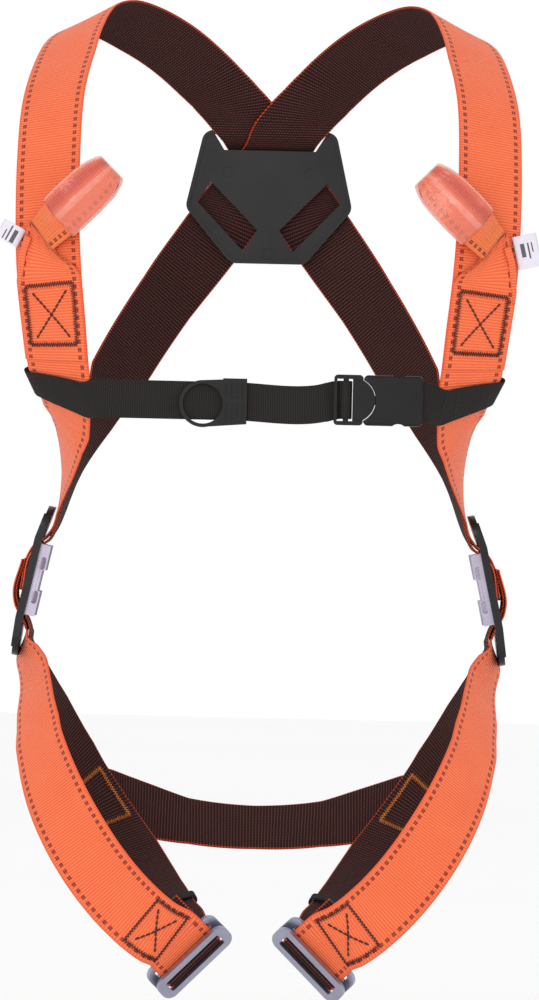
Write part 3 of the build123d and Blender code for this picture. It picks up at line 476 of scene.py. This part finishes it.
# ------------------------------------------------------------------ materials
class Shader:
    """A Principled material and short ways to add the nodes that drive it."""

    def __init__(self, name, **values):
        self.material = bpy.data.materials.new(name)
        self.material.use_nodes = True
        self.tree = self.material.node_tree
        self.nodes = self.tree.nodes
        self.principled = self.nodes["Principled BSDF"]
        for key, value in values.items():
            self.principled.inputs[key.replace("_", " ")].default_value = value

    def put(self, node, index, value):
        """Give an input a link or a value."""
        if isinstance(value, bpy.types.NodeSocket):
            self.tree.links.new(value, node.inputs[index])
        elif value is not None:
            node.inputs[index].default_value = value

    def math(self, operation, a, b=None, c=None):
        """The result of a sum on links or values."""
        node = self.nodes.new("ShaderNodeMath")
        node.operation = operation
        for i, value in enumerate((a, b, c)):
            self.put(node, i, value)
        return node.outputs[0]

    def mix(self, share, a, b):
        """Colour a where share is 0 and b where it is 1."""
        node = self.nodes.new("ShaderNodeMix")
        node.data_type = "RGBA"
        for i, value in ((0, share), (6, a), (7, b)):
            if isinstance(value, tuple):
                value = (*value, 1.0) if len(value) == 3 else value
            self.put(node, i, value)
        return node.outputs[2]

    def tint(self, base, share, strength, colour):
        """A colour laid over base, as strongly as share times strength."""
        return self.mix(self.math("MULTIPLY", share, strength), base, colour)

    def rest(self, x):
        """What is left of 1."""
        return self.math("SUBTRACT", 1.0, x)

    def noise(self, scale, detail=2.0, vector=None, roughness=0.5):
        """Cloudy noise from 0 to 1, at the object's own coordinates unless a vector is given."""
        node = self.nodes.new("ShaderNodeTexNoise")
        node.inputs["Scale"].default_value = scale
        node.inputs["Detail"].default_value = detail
        node.inputs["Roughness"].default_value = roughness
        self.put(node, "Vector", vector if vector is not None else self.place())
        return node.outputs[0]

    def place(self):
        """The object's own coordinates, in metres."""
        return self.nodes.new("ShaderNodeTexCoord").outputs["Object"]

    def strap_mm(self):
        """Millimetres across and along a strap, from its UV map, and both as a vector."""
        uv = self.nodes.new("ShaderNodeUVMap")
        uv.uv_map = "strap"
        scale = self.nodes.new("ShaderNodeVectorMath")
        scale.operation = "SCALE"
        self.tree.links.new(uv.outputs[0], scale.inputs[0])
        scale.inputs["Scale"].default_value = UV_MM
        split = self.nodes.new("ShaderNodeSeparateXYZ")
        self.tree.links.new(scale.outputs[0], split.inputs[0])
        return split.outputs[0], split.outputs[1], scale.outputs[0]

    def ramp(self, x, low, high):
        """0 below low, 1 above high, straight between."""
        node = self.nodes.new("ShaderNodeMapRange")
        self.put(node, 0, x)
        node.inputs[1].default_value = low
        node.inputs[2].default_value = high
        return node.outputs[0]

    def wave(self, x, pitch):
        """0 to 1 and back along x, once every pitch."""
        turned = self.math("MULTIPLY", x, 2 * math.pi / pitch)
        return self.math("MULTIPLY_ADD", self.math("COSINE", turned), -0.5, 0.5)

    def between(self, x, low, high):
        """1 where x is from low to high."""
        above, below = self.math("GREATER_THAN", x, low), self.math("LESS_THAN", x, high)
        return self.math("MULTIPLY", above, below)

    def bump(self, height, distance, strength=1.0):
        """Relief from a height of 0 to 1; distance is its depth in metres."""
        node = self.nodes.new("ShaderNodeBump")
        node.inputs["Distance"].default_value = distance
        node.inputs["Strength"].default_value = strength
        self.tree.links.new(height, node.inputs["Height"])
        self.tree.links.new(node.outputs[0], self.principled.inputs["Normal"])

    def colour(self, socket):
        """Drive the base colour."""
        self.tree.links.new(socket, self.principled.inputs["Base Color"])

    def roughness(self, socket):
        """Drive the roughness."""
        self.tree.links.new(socket, self.principled.inputs["Roughness"])


def srgb(r, g, b):
    """A colour given as 0-255 screen values, as the linear numbers that a shader takes."""
    def linear(c):
        c /= 255
        return c / 12.92 if c <= 0.04045 else ((c + 0.055) / 1.055) ** 2.4
    return (linear(r), linear(g), linear(b))


# Webbing pattern: selvage and tracers from the middle of the strap, and a tracer's pitch along it.
SELVAGE = 21.4
TRACER, LOOP_TRACER = 18.0, 9.4
TRACER_PITCH = 5.0


def orange_webbing(name, loop_length=None):
    """The outer face: fine ribs across, a dashed dark tracer along each edge.

    A loop's webbing is folded lengthwise, so it has a tracer along one edge, and its two ends are
    gathered into pale pleats.
    """
    shader = Shader(name, Roughness=0.6, Specular_IOR_Level=0.2, Sheen_Weight=0.12, Sheen_Roughness=0.5)
    across, along, both = shader.strap_mm()
    rib = shader.wave(along, 1.9)
    yarn = shader.wave(across, 1.15)
    base = shader.mix(shader.noise(0.045, 3.0, both), srgb(234, 96, 50), srgb(246, 114, 66))
    base = shader.tint(base, shader.noise(1.7, 2.0, both), 0.35, srgb(255, 164, 120))
    # Painted shade: the colour darkens in the grooves between the ribs, where the relief is low.
    base = shader.tint(base, shader.rest(rib), 0.55, srgb(196, 60, 24))
    out = shader.math("ABSOLUTE", across)
    base = shader.tint(base, shader.math("GREATER_THAN", out, SELVAGE), 0.55, srgb(226, 74, 34))
    height = shader.math("MULTIPLY_ADD", rib, 0.75, shader.math("MULTIPLY", yarn, 0.25))
    lane_at = shader.math("SUBTRACT", out, TRACER)
    if loop_length:
        lane_at = shader.math("ADD", across, LOOP_TRACER)
        near, far = 8.0, 22.0
        root = shader.math("ADD", shader.rest(shader.ramp(along, near, far)),
                           shader.ramp(along, loop_length - far, loop_length - near))
        pleat = shader.math("MULTIPLY", shader.wave(across, 1.9), root)
        base = shader.tint(base, root, 0.5, srgb(250, 140, 70))
        # Painted shade in the folds of the pleats, where the relief sinks.
        base = shader.tint(base, pleat, 0.35, srgb(214, 84, 36))
        height = shader.math("MULTIPLY_ADD", pleat, -1.6, height)
    off = shader.math("ABSOLUTE", lane_at)
    lane = shader.math("LESS_THAN", off, 1.25)
    split = shader.math("GREATER_THAN", off, 0.25)
    dash = shader.between(shader.math("FRACT", shader.math("DIVIDE", along, TRACER_PITCH)), 0.2, 0.74)
    depth = shader.math("MULTIPLY_ADD", split, 0.4, 0.5)
    mark = shader.math("MULTIPLY", shader.math("MULTIPLY", lane, dash), depth)
    shader.colour(shader.mix(mark, base, srgb(108, 30, 30)))
    shader.bump(height, 0.0005, 0.8)
    return shader.material


def dark_webbing(name):
    """The inner face: near-black brown ribs with dotted reddish yarn, orange thread at the edges."""
    shader = Shader(name, Roughness=0.8, Specular_IOR_Level=0.1)
    across, along, both = shader.strap_mm()
    rib = shader.wave(along, 2.1)
    dot = shader.wave(across, 1.6)
    crest = shader.math("POWER", rib, 2.0)
    fleck = shader.math("GREATER_THAN", shader.math("MULTIPLY", crest, dot), 0.42)
    patch = shader.noise(0.05, 3.0, both)
    base = shader.mix(patch, srgb(44, 24, 22), srgb(60, 34, 31))
    base = shader.tint(base, fleck, 0.8, srgb(106, 66, 62))
    # Painted shade: darker in the grooves between the ribs, where the relief is low.
    base = shader.tint(base, shader.rest(rib), 0.6, srgb(28, 14, 13))
    edge = shader.between(shader.math("ABSOLUTE", across), 21.5, 22.42)
    stripe = shader.math("MULTIPLY", edge, shader.math("MULTIPLY_ADD", rib, 0.75, 0.1))
    shader.colour(shader.mix(stripe, base, srgb(214, 74, 34)))
    shader.bump(shader.math("MULTIPLY_ADD", rib, 0.8, shader.math("MULTIPLY", dot, 0.3)), 0.0004, 0.8)
    return shader.material


def black_webbing(name, pitch=1.5):
    """Plain black polyester webbing with fine ribs."""
    shader = Shader(name, Roughness=0.72, Specular_IOR_Level=0.12)
    across, along, both = shader.strap_mm()
    rib = shader.wave(along, pitch)
    yarn = shader.wave(across, 1.1)
    patch = shader.noise(0.06, 3.0, both)
    base = shader.mix(patch, srgb(24, 21, 21), srgb(34, 30, 30))
    # Painted highlight: the rib crests are lighter, where the relief is high.
    shader.colour(shader.tint(base, rib, 0.35, srgb(58, 53, 53)))
    shader.bump(shader.math("MULTIPLY_ADD", rib, 0.7, shader.math("MULTIPLY", yarn, 0.3)), 0.0003, 0.7)
    return shader.material


def thread(name, dark, light):
    """Sewing thread, a little lighter in places."""
    shader = Shader(name, Roughness=0.6, Specular_IOR_Level=0.4)
    shader.colour(shader.mix(shader.noise(900.0, 2.0), dark, light))
    shader.bump(shader.noise(2600.0, 1.0), 0.0001, 0.5)
    return shader.material


def plastic(name, dark, light, rough, grain=0.5):
    """Moulded plastic: slight mottling, worn-in gloss and a fine grain."""
    shader = Shader(name, Specular_IOR_Level=0.24)
    shader.colour(shader.mix(shader.noise(35.0, 4.0), dark, light))
    shader.roughness(shader.math("MULTIPLY_ADD", shader.noise(60.0, 3.0), 0.16, rough - 0.08))
    shader.bump(shader.noise(1800.0, 2.0), 0.00012, grain)
    return shader.material


def steel(name, dark, light, rough):
    """Zinc-plated steel: bluish, softly mottled."""
    shader = Shader(name, Metallic=0.92, Specular_IOR_Level=0.5)
    shader.colour(shader.mix(shader.noise(55.0, 4.0, roughness=0.6), dark, light))
    shader.roughness(shader.math("MULTIPLY_ADD", shader.noise(140.0, 3.0), 0.18, rough - 0.09))
    shader.bump(shader.noise(420.0, 3.0), 0.00012, 0.35)
    return shader.material


def sheath_plastic(name):
    """Clear tube, tinted by the webbing in it, with a painted highlight over the ridge, painted shade beside
    it and a light rim.
    """
    shader = Shader(name, Roughness=0.2, Specular_IOR_Level=0.55, Alpha=0.5)
    across, _, both = shader.strap_mm()
    cloud = shader.noise(0.12, 2.0, both)
    base = shader.mix(cloud, srgb(228, 122, 100), srgb(240, 146, 124))
    # Painted shade: a dusky band beside the ridge.
    shade = shader.math("MULTIPLY", shader.ramp(across, 2.5, 7.0),
                        shader.rest(shader.ramp(across, 10.0, 14.0)))
    base = shader.tint(base, shade, 0.75, srgb(178, 72, 78))
    # Painted highlight: a pale band over the ridge.
    ridge, gleam = shader.between(across, -1.5, 2.5), shader.math("MULTIPLY_ADD", cloud, 0.5, 0.1)
    base = shader.tint(base, ridge, gleam, srgb(255, 206, 194))
    rim = shader.math("GREATER_THAN", shader.math("ABSOLUTE", across), 13.9)
    shader.colour(shader.tint(base, rim, 0.6, srgb(255, 196, 180)))
    shader.bump(shader.noise(0.25, 2.0, both), 0.0008, 0.5)
    return shader.material


def label_cloth(name, bars):
    """White woven label with a few plain printed bars: each from low to high along, left to right across."""
    shader = Shader(name, Roughness=0.7, Specular_IOR_Level=0.3)
    across, along, both = shader.strap_mm()
    base = shader.mix(shader.noise(0.3, 3.0, both), srgb(206, 202, 214), srgb(222, 219, 229))
    for low, high, left, right in bars:
        tall, wide = shader.between(along, low, high), shader.between(across, left, right)
        base = shader.tint(base, shader.math("MULTIPLY", tall, wide), 0.9, srgb(52, 50, 60))
    shader.colour(base)
    shader.bump(shader.wave(along, 0.6), 0.0001, 0.4)
    return shader.material


ORANGE = orange_webbing("orange_webbing")
DARK = dark_webbing("dark_webbing")
BLACK = black_webbing("black_webbing")
MAROON_THREAD = thread("maroon_thread", srgb(58, 18, 20), srgb(84, 28, 28))
GOLD_THREAD = thread("gold_thread", srgb(176, 92, 30), srgb(214, 128, 52))
BLACK_THREAD = thread("black_thread", srgb(24, 22, 22), srgb(40, 37, 37))
PLATE_PLASTIC = plastic("plate_plastic", srgb(17, 15, 16), srgb(36, 33, 36), 0.32)
BUCKLE_PLASTIC = plastic("buckle_plastic", srgb(11, 9, 9), srgb(21, 18, 18), 0.3, 0.35)
ELASTIC = black_webbing("elastic", 1.1)
ZINC = steel("zinc_steel", srgb(140, 142, 162), srgb(176, 178, 196), 0.36)
FRAME_STEEL = steel("frame_steel", srgb(150, 142, 160), srgb(184, 176, 192), 0.42)
SHEATH = sheath_plastic("clear_sheath")
LABEL = label_cloth("label_white", [
    (4.0, 6.8, -5.5, 3.5),
    (8.6, 9.7, -5.5, 5.0),
    (11.2, 12.1, -5.5, 1.0),
])


# ------------------------------------------------------------------ meshes
def piece(name, points, faces, materials, indices=None, uvs=None):
    """A mesh object from points in millimetres; uvs are per point."""
    mesh = bpy.data.meshes.new(name)
    mesh.from_pydata([tuple(Vector(p) * MM) for p in points], [], faces)
    for material in materials:
        mesh.materials.append(material)
    if indices is not None:
        mesh.polygons.foreach_set("material_index", indices)
    if uvs is not None:
        layer = mesh.uv_layers.new(name="strap")
        for loop_data in mesh.loops:
            u, v = uvs[loop_data.vertex_index]
            layer.data[loop_data.index].uv = (u / UV_MM, v / UV_MM)
    mesh.polygons.foreach_set("use_smooth", [True] * len(mesh.polygons))
    mesh.update()
    obj = bpy.data.objects.new(name, mesh)
    bpy.context.scene.collection.objects.link(obj)
    return obj


def outline(half, thickness, columns):
    """A strap's cross-section: (across, height, on the outer face) round its rounded edges."""
    top = thickness / 2
    edge = [(0.0, 0.0), (0.14, 0.55 * top), (0.5, 0.93 * top), (1.0, top)]
    inner = [-1 + 2 * k / columns for k in range(1, columns)]
    face = [(-half + d, h) for d, h in edge] + [(t * (half - 1.0), top) for t in inner]
    face += [(half - d, h) for d, h in edge[::-1]]
    return face + [(v, -h) for v, h in face[-2:0:-1]], len(face)


def ribbon_piece(name, ribbon, materials, columns=14, shape=None, uv_sign=1):
    """The mesh of a strap. shape(s, v) may give (width factor, height to add in millimetres)."""
    section, faces_out = outline(ribbon.web / 2, ribbon.thickness, columns)
    count = len(section)
    points, uvs = [], []
    for centre, across, outward, width, s in ribbon.rows:
        for v, h in section:
            factor, lift = shape(s, v) if shape else (1.0, 0.0)
            points.append(centre + across * (v * factor * width / ribbon.web) + outward * (h + lift))
            uvs.append((v * uv_sign, s))
    faces, indices = [], []
    rows = len(ribbon.rows)
    for i in range(rows - 1):
        for k in range(count):
            n = (k + 1) % count
            faces.append((i * count + k, i * count + n, (i + 1) * count + n, (i + 1) * count + k))
            indices.append(0 if k < faces_out - 1 else 1)
    faces.append(tuple(range(count - 1, -1, -1)))
    faces.append(tuple((rows - 1) * count + k for k in range(count)))
    indices += [0, 0]
    return piece(name, points, faces, materials, indices, uvs)


def tube(name, runs, radius, material, sides=5):
    """Threads: one thin tube along every run of points, in one mesh."""
    points, faces = [], []
    for run in runs:
        start = len(points)
        last = len(run) - 1
        for i, point in enumerate(run):
            along = (run[min(i + 1, last)] - run[max(i - 1, 0)]).normalized()
            helper = Vector((0, 1, 0)) if abs(along.y) < 0.8 else Vector((1, 0, 0))
            right = along.cross(helper).normalized()
            up = right.cross(along)
            size = radius * (0.55 if i in (0, last) else 1.0)
            for k in range(sides):
                turn = 2 * math.pi * k / sides
                points.append(point + right * (size * math.cos(turn)) + up * (size * math.sin(turn)))
        for i in range(last):
            for k in range(sides):
                n = (k + 1) % sides
                a = start + i * sides
                faces.append((a + k, a + n, a + sides + n, a + sides + k))
        faces.append(tuple(start + k for k in range(sides - 1, -1, -1)))
        faces.append(tuple(start + last * sides + k for k in range(sides)))
    return piece(name, points, faces, [material])


def zigzag(ribbon, a, b, height, half=1.2, pitch=0.95):
    """A zigzag seam on a strap from a to b, each (s, v)."""
    (s0, v0), (s1, v1) = a, b
    length = math.hypot(s1 - s0, v1 - v0)
    ds, dv = (s1 - s0) / length, (v1 - v0) / length
    count = max(2, round(length / pitch))
    run = []
    for i in range(count + 1):
        t = length * i / count
        side = half * (1 if i % 2 else -1) * random.uniform(0.85, 1.15)
        run.append(ribbon.at(s0 + ds * t - dv * side, v0 + dv * t + ds * side, height))
    return run


def running(ribbon, a, b, height, stitch=3.2, gap=0.45):
    """Straight stitches on a strap from a to b, each (s, v)."""
    (s0, v0), (s1, v1) = a, b
    length = math.hypot(s1 - s0, v1 - v0)
    count = max(1, round(length / (stitch + gap)))
    runs = []
    for i in range(count):
        low = (i + 0.5 * gap / (stitch + gap)) / count
        high = (i + 1 - 0.5 * gap / (stitch + gap)) / count
        run = []
        for k in range(5):
            t = low + (high - low) * k / 4
            sink = math.copysign(0.35, height) * (1 - math.sin(math.pi * k / 4))
            run.append(ribbon.at(s0 + (s1 - s0) * t, v0 + (v1 - v0) * t, height - sink))
        runs.append(run)
    return runs


def box_stitch(name, ribbon, s0, s1, v0, v1, height, material,
               heavy="sides", cross=True):
    """A sewn box, usually with a cross in it; heavy sides are dense zigzag."""
    corners = [(s0, v0), (s1, v0), (s1, v1), (s0, v1)]
    runs = []
    for i in range(4):
        a, b = corners[i], corners[(i + 1) % 4]
        along = i % 2 == 0
        if heavy == "all" or along:
            runs.append(zigzag(ribbon, a, b, height, pitch=0.8))
        else:
            runs.append(zigzag(ribbon, a, b, height, half=0.5, pitch=1.1))
    inset = 4.5
    low, high, left, right = s0 + inset, s1 - inset, v0 + inset, v1 - inset
    if cross:
        for a, b in (((low, left), (high, right)), ((low, right), (high, left))):
            runs += running(ribbon, a, b, height)
    obj = tube(name, runs, THREAD_RADIUS, material)
    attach(obj, "harness")


# ------------------------------------------------------------------ webbing
SIDES = ((1, "left"), (-1, "right"))


def strap(name, ribbon, materials, node, body="harness", slot="orange_webbing", **options):
    obj = ribbon_piece(name, ribbon, materials, **options)
    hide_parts(node)
    if body:
        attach(obj, body)
    return obj


front, rear = {}, {}
for side, name in SIDES:
    front[side] = Ribbon(FRONT_ROUTE if side > 0 else flip(FRONT_ROUTE))
    rear[side] = Ribbon(REAR_ROUTE if side > 0 else flip(REAR_ROUTE))
    strap(f"web_shoulder_{name}", shoulder[side], [ORANGE, DARK], f"shoulder_strap_{name}")
    strap(f"web_thigh_front_{name}", front[side], [ORANGE, DARK], f"thigh_strap_front_{name}")
    strap(f"web_thigh_rear_{name}", rear[side], [ORANGE, DARK], f"thigh_strap_rear_{name}")
seat = Ribbon(SEAT_ROUTE)
strap("web_seat", seat, [ORANGE, DARK], "seat_strap")
tab = Ribbon(TAB_ROUTE, CHEST_WEB, CHEST_T)
strap("web_chest_left", tab, [BLACK, BLACK], "chest_strap_left", slot="black_webbing")
chest = Ribbon(CHEST_ROUTE, CHEST_WEB, CHEST_T)
chest_piece = strap("web_chest_right", chest, [BLACK, BLACK], "chest_strap_right", None, "black_webbing")
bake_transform(chest_piece)

# Sternal loops: webbing folded lengthwise, gathered at the root, in a clear sheath out to the tip.
SHEATH_START = 19.0  # along the loop's webbing, from either end


def loop_shape(length):
    """Wider in the middle, rounded at the tip and dished along each leg."""
    def shape(s, v):
        tip = abs(s - length / 2)
        fill = 0.93 + 0.15 * math.sin(math.pi * min(1.0, tip / (length / 2)))
        corner = max(0.0, 1 - tip / 17.0)
        factor = fill - 0.32 * corner**1.6
        leg_share = math.sin(math.pi * min(1.0, max(0.0, (tip - 8) / (length / 2 - 8))))
        share = v / (LOOP_WEB / 2)
        ridge = 1.7 * math.exp(-((share - 0.1) / 0.32) ** 2) - 2.0 * max(0.0, share - 0.1) ** 1.4
        return factor, leg_share * (ridge - 0.6 * share * share)
    return shape


def turned_shape(shape, side, start=0.0, scale=1.0):
    """The same shape for the mirrored loop, or for the sheath round it."""
    return lambda s, v: shape(s + start, v * side * scale)


loops = {side: Ribbon(LOOP_ROUTE if side > 0 else flip(LOOP_ROUTE), LOOP_WEB, LOOP_T) for side, _ in SIDES}
LOOP_ORANGE = orange_webbing("loop_webbing", loops[1].length)
for side, name in SIDES:
    ribbon = loops[side]
    shape = loop_shape(ribbon.length)
    strap(f"web_loop_{name}", ribbon, [LOOP_ORANGE, LOOP_ORANGE], f"sternal_loop_{name}", f"loop_{name}",
          shape=turned_shape(shape, side), uv_sign=side, columns=20)
    cover = ribbon.part(SHEATH_START, ribbon.length - SHEATH_START, SHEATH_WEB, LOOP_T + 1.6)
    strap(f"sheath_{name}", cover, [SHEATH, SHEATH], f"loop_sheath_{name}", f"loop_{name}",
          "clear_sheath", shape=turned_shape(shape, side, SHEATH_START, LOOP_WEB / SHEATH_WEB),
          uv_sign=side, columns=20)

# Labels, tucked under the flap's outer edge: middle, direction of the width, width and length.
for side, middle, long_way, size in (
    (1, (170.1, -106.2, 100.6), (0.23, 0, -0.97), (22.0, 15.7)),
    (-1, (-168.3, -106.2, 104.8), (0.47, 0, 0.88), (13.0, 16.0)),
):
    name = "left" if side > 0 else "right"
    out_way = Vector(long_way).normalized().cross(Vector((0, -1, 0))) * -1
    if out_way.x * side < 0:
        out_way = -out_way
    rows = []
    for k in range(7):
        t = k / 6
        bow = -1.5 * math.sin(math.pi * t) + 0.9 * t
        rows.append((Vector(middle) + out_way * ((t - 0.5) * size[1]) + Vector((0, bow, 0)), (0, -1, 0)))
    strap(f"tag_{name}_cloth", Ribbon(rows, size[0], 0.6), [LABEL, LABEL], f"label_{name}",
          f"tag_{name}", "label_white")

# Elastic keepers round the rear thigh straps.
for side, name in SIDES:
    centre, across, outward, _ = rear[side].row(rear[side].nearest((side * 61.4, -16.9, -337.9)))
    wide, deep, radius = 24.2, 2.7, 2.2
    rows = []
    for x, y, turn in ((wide, -deep, -90), (wide, deep, 0), (-wide, deep, 90), (-wide, -deep, 180)):
        for k in range(4):
            angle = math.radians(turn + 30 * k)
            corner = Vector((math.copysign(wide - radius, x), math.copysign(deep - radius, y), 0))
            way = Vector((math.cos(angle), math.sin(angle), 0))
            spot = corner + way * radius
            rows.append((centre + across * spot.x + outward * spot.y, across * way.x + outward * way.y))
    rows.append((rows[0][0] + (rows[1][0] - rows[0][0]) * 0.4, rows[0][1]))
    band = Ribbon(rows, 10.0, 1.3, 1.5)
    strap(f"keeper_{name}_elastic", band, [ELASTIC, ELASTIC], f"strap_keeper_{name}",
          f"keeper_{name}", "elastic", columns=8)

# The flap's outer edge is turned over beside the loop's root.
FOLD_ROUTE = smooth([
    ((161.9, -106.3, 66), (0.45, -0.89, 0)),
    ((161.4, -107.9, 80), (0.45, -0.89, 0)),
    ((159.9, -110.0, 93), (0.42, -0.9, 0.1)),
    ((156.6, -112.2, 103), (0.4, -0.9, 0.2)),
])


def fold_shape(s, v):
    """Narrow where the turned edge begins, full width from 20 mm on."""
    return 0.35 + 0.65 * min(1, s / 20), 0


for side, name in SIDES:
    fold = Ribbon(FOLD_ROUTE if side > 0 else flip(FOLD_ROUTE), 5.0, 1.4)
    obj = ribbon_piece(f"web_fold_{name}", fold, [ORANGE, ORANGE], 6, fold_shape)
    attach(obj, "harness")

# The sewn flap under each sternal loop narrows and turns up into the loop's root: point, facing,
# width and turn in degrees.
FLAP_TOP = [
    ((142.9, -113.3, 80), (0.32, -0.95, 0.0), 43.0, 0.0),
    ((143.8, -113.6, 88), (0.32, -0.95, 0.0), 39.0, 12.0),
    ((145.6, -113.4, 95), (0.34, -0.94, 0.0), 33.0, 27.0),
    ((147.4, -113.2, 101), (0.36, -0.93, 0.0), 28.0, 40.0),
    ((148.6, -113.2, 106), (0.36, -0.93, 0.0), 25.0, 45.0),
]


def flap_rows():
    """(centre, across, outward, width) up the left flap."""
    rows = []
    for centre, across, outward, width, _ in shoulder[1].rows:
        if centre.y < -90 and 22 < centre.z < 78:
            rows.append((centre + outward * LAYER, across, outward, width))
    for point, facing, width, turn in FLAP_TOP:
        outward = Vector(facing).normalized()
        level = Vector((0, 0, 1)).cross(outward).normalized() * -1
        upright = outward.cross(level)
        across = level * math.cos(math.radians(turn)) + upright * math.sin(math.radians(turn))
        if across.x < 0:
            across = -across
        rows.append((Vector(point), across, outward, width))
    return rows


def flap_piece(side, name):
    """The flap as one sheet with rounded edges, its rows running upwards."""
    rows = flap_rows()
    centres = [row[0] for row in rows]
    steps, slopes = slopes_of(centres)
    fine = []
    length = 0.0
    for i, gap in enumerate(steps):
        count = max(1, math.ceil(gap / 2.0))
        for k in range(count):
            t = k / count
            centre = hermite(centres[i], centres[i + 1], slopes[i], slopes[i + 1], gap, t)
            a, b = rows[i], rows[i + 1]
            if fine:
                length += (centre - fine[-1][0]).length
            fine.append((centre, a[1].lerp(b[1], t).normalized(), a[2].lerp(b[2], t).normalized(),
                         a[3] * (1 - t) + b[3] * t, length))
    section, _ = outline(WEB / 2, WEB_T, 20)
    count = len(section)
    points, uvs, faces = [], [], []
    for centre, across, outward, width, s in fine:
        gather = max(0.0, 1 - width / WEB)
        for v, h in section:
            pleat = gather * 1.6 * math.sin(v * 1.15)
            point = centre + across * (v * width / WEB) + outward * (h + pleat)
            points.append(point * Vector((side, 1, 1)))
            uvs.append((v, s))
    for i in range(len(fine) - 1):
        for k in range(count):
            n = (k + 1) % count
            quad = (i * count + k, i * count + n, (i + 1) * count + n, (i + 1) * count + k)
            faces.append(quad if side < 0 else quad[::-1])
    last = (len(fine) - 1) * count
    ends = [tuple(range(count)), tuple(last + k for k in range(count - 1, -1, -1))]
    faces += ends if side > 0 else [end[::-1] for end in ends]
    obj = piece(f"web_flap_{name}", points, faces, [ORANGE], uvs=uvs)
    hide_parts(f"chest_flap_{name}")
    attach(obj, "harness")


for side, name in SIDES:
    flap_piece(side, name)

# ------------------------------------------------------------------ stitching
ON_TOP = WEB_T / 2 + 0.2  # height of a thread off the middle of a strap
for side, name in SIDES:
    low = shoulder[side].nearest((side * 137.0, -110, 32), 100, 500)
    high = shoulder[side].nearest((side * 141.5, -111, 71), 100, 500)
    box_stitch(f"stitch_flap_{name}", shoulder[side], low, high, -16.5, 16.5, LAYER + ON_TOP,
               MAROON_THREAD, "all")
    bar = front[side].nearest(leg(0, 15.5, -4.7) * Vector((side, 1, 1)), 150, 400)
    box_stitch(f"stitch_thigh_{name}", front[side], bar - 31, bar - 7, -17.3, 17.3, ON_TOP, MAROON_THREAD)
    seam = rear[side].nearest((side * 108.0, 79, -272), 100, 400)
    box_stitch(f"stitch_seat_{name}", rear[side], seam - 16, seam + 18, -16, 16, -ON_TOP,
               GOLD_THREAD, "all", False)

for name, ribbon, places in (("left", tab, ((118.0, -107.0, -3.0), (126.0, -101.0, -1.0))),
                             ("right", chest, ((-94.0, -117.0, -2.0), (-101.0, -116.2, -2.0)))):
    runs = []
    for place in places:
        s = ribbon.nearest(place, 12.0 if name == "left" else 120.0)
        runs += running(ribbon, (s, -10.5), (s, 10.5), CHEST_T / 2 + 0.15, 2.2, 0.6)
    obj = tube(f"stitch_chest_{name}", runs, FINE_THREAD_RADIUS, BLACK_THREAD)
    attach(obj, "harness")

# ------------------------------------------------------------------ hardware
# The CAD solids that show, with their materials and softened edges.
SMALL_EDGE, BUCKLE_EDGE = 0.0005, 0.001
CAD_LOOKS = {
    "dorsal_plate": PLATE_PLASTIC,
    "side_plate_left": PLATE_PLASTIC,
    "side_plate_right": PLATE_PLASTIC,
    "dorsal_d_ring": ZINC,
    "leg_buckle_front_left": ZINC,
    "leg_buckle_front_right": ZINC,
    "leg_buckle_rear_left": ZINC,
    "leg_buckle_rear_right": ZINC,
    "side_frame_left": FRAME_STEEL,
    "side_frame_right": FRAME_STEEL,
    "buckle_female": BUCKLE_PLASTIC,
    "buckle_male": BUCKLE_PLASTIC,
    "buckle_prong_upper": BUCKLE_PLASTIC,
    "buckle_prong_lower": BUCKLE_PLASTIC,
    "parking_ring": BUCKLE_PLASTIC,
}
for node, material in CAD_LOOKS.items():
    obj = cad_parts[node]
    if obj.material_slots:
        for material_slot in obj.material_slots:
            material_slot.material = material
    else:
        obj.data.materials.append(material)
    weld = obj.modifiers.new("weld", "WELD")
    weld.merge_threshold = 0.00001
    bevel = obj.modifiers.new("edges", "BEVEL")
    bevel.width = BUCKLE_EDGE if node.startswith("leg_buckle") else SMALL_EDGE
    bevel.segments = 3
    bevel.limit_method = "ANGLE"
    bevel.angle_limit = math.radians(32)
    bevel.harden_normals = True

# ------------------------------------------------------------------ studio
scene = bpy.context.scene
floor_mesh = bpy.data.meshes.new("floor")
floor_corners = [(x, y, FLOOR_Z) for x, y in ((-9, -9), (9, -9), (9, 9), (-9, 9))]
floor_mesh.from_pydata(floor_corners, [], [(0, 1, 2, 3)])
floor = bpy.data.objects.new("floor", floor_mesh)
scene.collection.objects.link(floor)
floor_shader = Shader("floor", Roughness=0.85, Specular_IOR_Level=0.2)
floor_tone = floor_shader.noise(1.2, 2.0)
floor_shader.colour(floor_shader.mix(floor_tone, (0.93, 0.93, 0.93), (0.96, 0.96, 0.96)))
floor_mesh.materials.append(floor_shader.material)

world = bpy.data.worlds.new("studio")
scene.world = world
world.use_nodes = True
background = world.node_tree.nodes["Background"]
background.inputs["Color"].default_value = (1.0, 1.0, 1.0, 1.0)
background.inputs["Strength"].default_value = 1.0


def area_light(name, place, target, size, power):
    """A rectangular lamp that shines from place towards target."""
    data = bpy.data.lights.new(name, "AREA")
    data.shape = "RECTANGLE"
    data.size, data.size_y = size
    data.energy = power
    light = bpy.data.objects.new(name, data)
    light.location = place
    light.rotation_euler = (Vector(target) - Vector(place)).to_track_quat("-Z", "Y").to_euler()
    scene.collection.objects.link(light)


area_light("key", (-0.8, -2.6, 0.5), (0, 0, -0.05), (1.0, 1.0), 18)
area_light("fill", (1.6, -2.2, -0.3), (0, 0, -0.05), (0.9, 1.4), 8)

VIEW_ANGLE = 6.36  # degrees over the longer side of the picture
camera_data = bpy.data.cameras.new("camera")
camera_data.sensor_width = 36.0
camera_data.lens = camera_data.sensor_width / 2 / math.tan(math.radians(VIEW_ANGLE / 2))
camera = bpy.data.objects.new("camera", camera_data)
camera.location = (0.005, -6.0, -0.066)
camera.rotation_euler = (math.radians(90), math.radians(-1.3), 0)
scene.collection.objects.link(camera)
scene.camera = camera
scene.view_settings.view_transform = "Standard"
